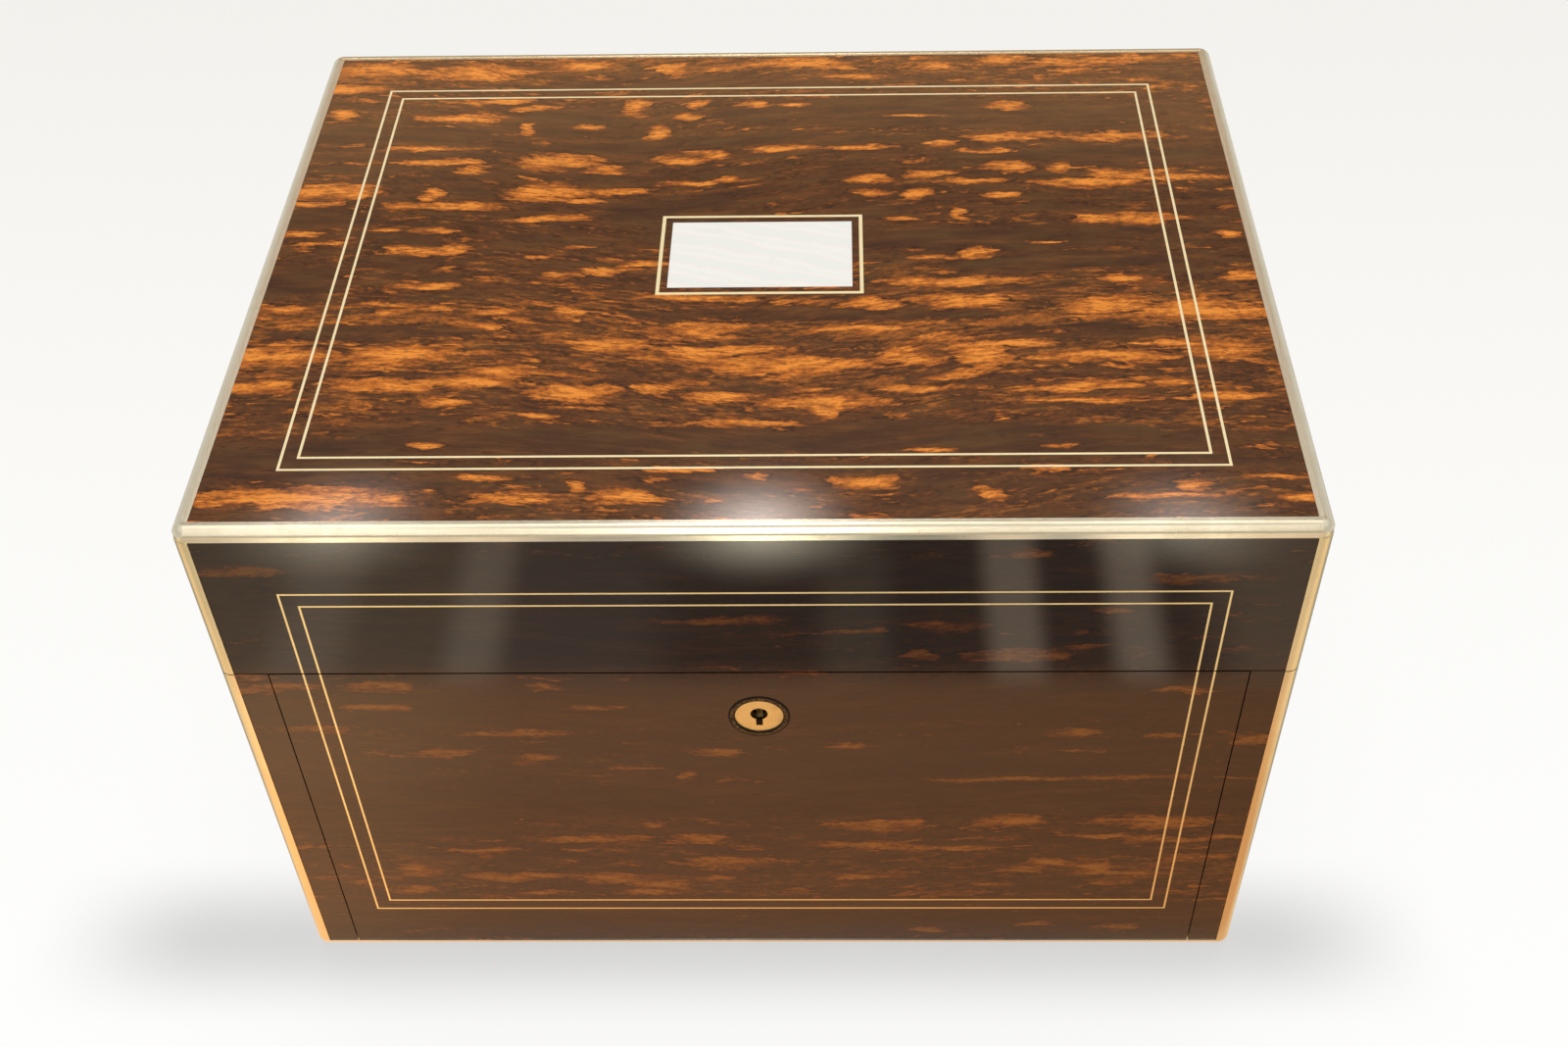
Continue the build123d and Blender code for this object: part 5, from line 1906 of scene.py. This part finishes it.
    @staticmethod
    def rays(graph: Graph) -> tuple[Value, Value]:
        """Returns what is 1 for the camera's rays and what is 1 for mirrored rays."""
        path = graph.node("ShaderNodeLightPath")
        return Value(graph, path.outputs["Is Camera Ray"]), Value(graph, path.outputs["Is Glossy Ray"])

    def mirrored(self, graph: Graph, x: Value, y: Value) -> Tint:
        """Makes what glossy rays see of the floor.

        Args:
            graph: The tree to write in.
            x: The place across the floor, in millimetres.
            y: The place along the floor, in millimetres.

        Returns:
            The colour of the warm table, the dark room before it and its pale bars.
        """
        near = graph.mix(y.step(-128.0, -100.0), (1.04, 0.76, 0.48), (0.40, 0.37, 0.33))
        pale = graph.mix(self.zone(abs(x), y, self.side_zone), (0.76, 0.72, 0.64), near)
        warm = graph.ramp((x + 260.0) / 520.0, self.warmth)
        # Painted shade on the mirrored table: it is dimmer nearer the foot of the box, as in the box's
        # shadow.
        warm = warm.shaded(1 - y.step(-215.0, -182.0) * 0.2 - y.step(-145.0, -128.0) * 0.06)
        left = graph.mix(x.step(-150.0, -105.0), (0.60, 0.50, 0.37), (0.40, 0.37, 0.33))
        room = graph.mix(x.step(-70.0, -30.0), left, (0.115, 0.14, 0.15))
        room = room.over((0.36, 0.37, 0.31), x.within(32.0, 14.0, 8.0))
        room = room.over((0.74, 0.58, 0.42), x.step(168.0, 200.0))
        bars: Value | float = 0.0
        for centre, half, soft, strength in self.bars:
            bars = (x.within(centre, half, soft) * strength).most(bars)
        room = room.over((1.40, 1.18, 0.92), bars)
        room = room.over((8.4, 7.7, 5.8), self.glow(x, y, self.floor_glow, (58.0, 34.0)))
        colour = graph.mix(self.zone(x, y, self.dark_zone), pale, room)
        return colour.over(warm, self.zone(x, y, self.table_zone))

    def light(self) -> None:
        """Hangs the one broad lamp, which the polish doesn't mirror."""
        sun = bpy.data.lights.new("overhead", "SUN")
        sun.energy = self.lamp_strength
        sun.angle = math.radians(self.lamp_spread)
        sun.color = (1.0, 0.985, 0.95)
        lamp = bpy.data.objects.new(sun.name, sun)
        lamp.location = self.lamp_place
        lamp.rotation_euler = (Vector() - Vector(self.lamp_place)).to_track_quat("-Z", "Y").to_euler()
        lamp.visible_glossy = False
        bpy.context.scene.collection.objects.link(lamp)

    @staticmethod
    def glow(across: Value, along: Value, spots: tuple[Triple, ...], size: tuple[float, float]) -> Value:
        """Draws soft spots.

        Args:
            across: The first coordinate.
            along: The second coordinate.
            spots: The two coordinates of each spot and its strength.
            size: The reach of the spots along the two coordinates.

        Returns:
            The strength of the spots together.
        """
        total = across * 0.0
        for first, second, strength in spots:
            far = across.graph.join((across - first) / size[0], (along - second) / size[1])
            near = (1 - far.length()).clamped()
            total = total + near * near * strength
        return total

    def surround(self) -> None:
        """Makes the world: white behind the floor, soft for light, and banded for the polish."""
        world = bpy.data.worlds.new("studio")
        world.use_nodes = True
        world.node_tree.nodes.clear()
        graph = Graph(world.node_tree)
        way = graph.place("ShaderNodeTexCoord", {}, {}, "Generated")
        x, y, z = [way.part(axis) for axis in range(3)]
        rise = z.clamped()
        behind = (
            (0.0, (0.50, 0.46, 0.40)),
            (0.44, (0.40, 0.36, 0.30)),
            (0.515, (0.95, 0.54, 0.26)),
            (0.54, (0.95, 0.54, 0.26)),
            (0.572, (0.14, 0.12, 0.10)),
            (0.66, (0.18, 0.17, 0.16)),
            (0.725, (0.36, 0.33, 0.28)),
            (0.78, (0.92, 0.87, 0.75)),
            (0.95, (0.82, 0.77, 0.67)),
            (1.0, (0.70, 0.65, 0.56)),
        )
        before = (
            (0.0, (0.50, 0.42, 0.30)),
            (0.3, (0.46, 0.40, 0.29)),
            (0.75, (0.54, 0.49, 0.39)),
            (1.0, (0.70, 0.65, 0.56)),
        )
        beside = (
            (0.0, (0.70, 0.68, 0.62)),
            (0.5, (0.56, 0.54, 0.48)),
            (0.85, (0.84, 0.82, 0.76)),
        )
        banded = graph.ramp(rise, behind).over(graph.ramp(rise, before), y.step(0.05, -0.05))
        halo = self.glow(x, z, self.high_glow, (0.062, 0.025)) * y.step(0.0, 0.1)
        banded = banded.over((18.0, 16.2, 15.0), halo)
        high = z.step(0.75, 0.8).most(y.step(0.02, -0.02) * z.step(0.1, 0.3)) * z.step(0.985, 0.955)
        banded = banded.over((9.0, 8.6, 7.8), self.glow(x, high, self.beams, (0.055, 1.0)) * high)
        banded = banded.over(graph.ramp(rise, beside), abs(x).step(0.37, 0.48))
        direct, glossy = self.rays(graph)
        soft = (self.ambient, self.ambient, self.ambient)
        colour = graph.mix(direct, graph.mix(glossy, soft, banded), (0.90, 0.885, 0.845))
        back = graph.value("ShaderNodeBackground", {}, {0: colour, 1: 1.0})
        graph.node("ShaderNodeOutputWorld", {}, {0: back})
        bpy.context.scene.world = world


def main() -> None:
    """Builds the scene piece by piece."""
    logging.basicConfig(level=logging.INFO)
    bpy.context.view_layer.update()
    Studio().build()
    fixings = Fixings()
    screw = fixings.screw()
    mark = fixings.bead(radius=0.55, length=1.1, height=0.16)
    pearl = fixings.bead(radius=1.15, length=1.15, height=0.9)
    kit = ScrewSet()
    row = PathRow()
    base, fall, lid, tray, drawers = Base(), FallFront(), Lid(), Tray(), Drawers()
    for part in (base, fall, lid, tray, drawers):
        part.dress()
    for part in (base, fall, lid):
        part.line()
        part.drive_screws(kit, screw)
    fall.tool(row, mark)
    lid.bead_mirror(row, pearl)
    tray.build_pad()
    for pattern in (screw, mark, pearl):
        bpy.data.objects.remove(pattern)


if __name__ == "__main__":
    main()
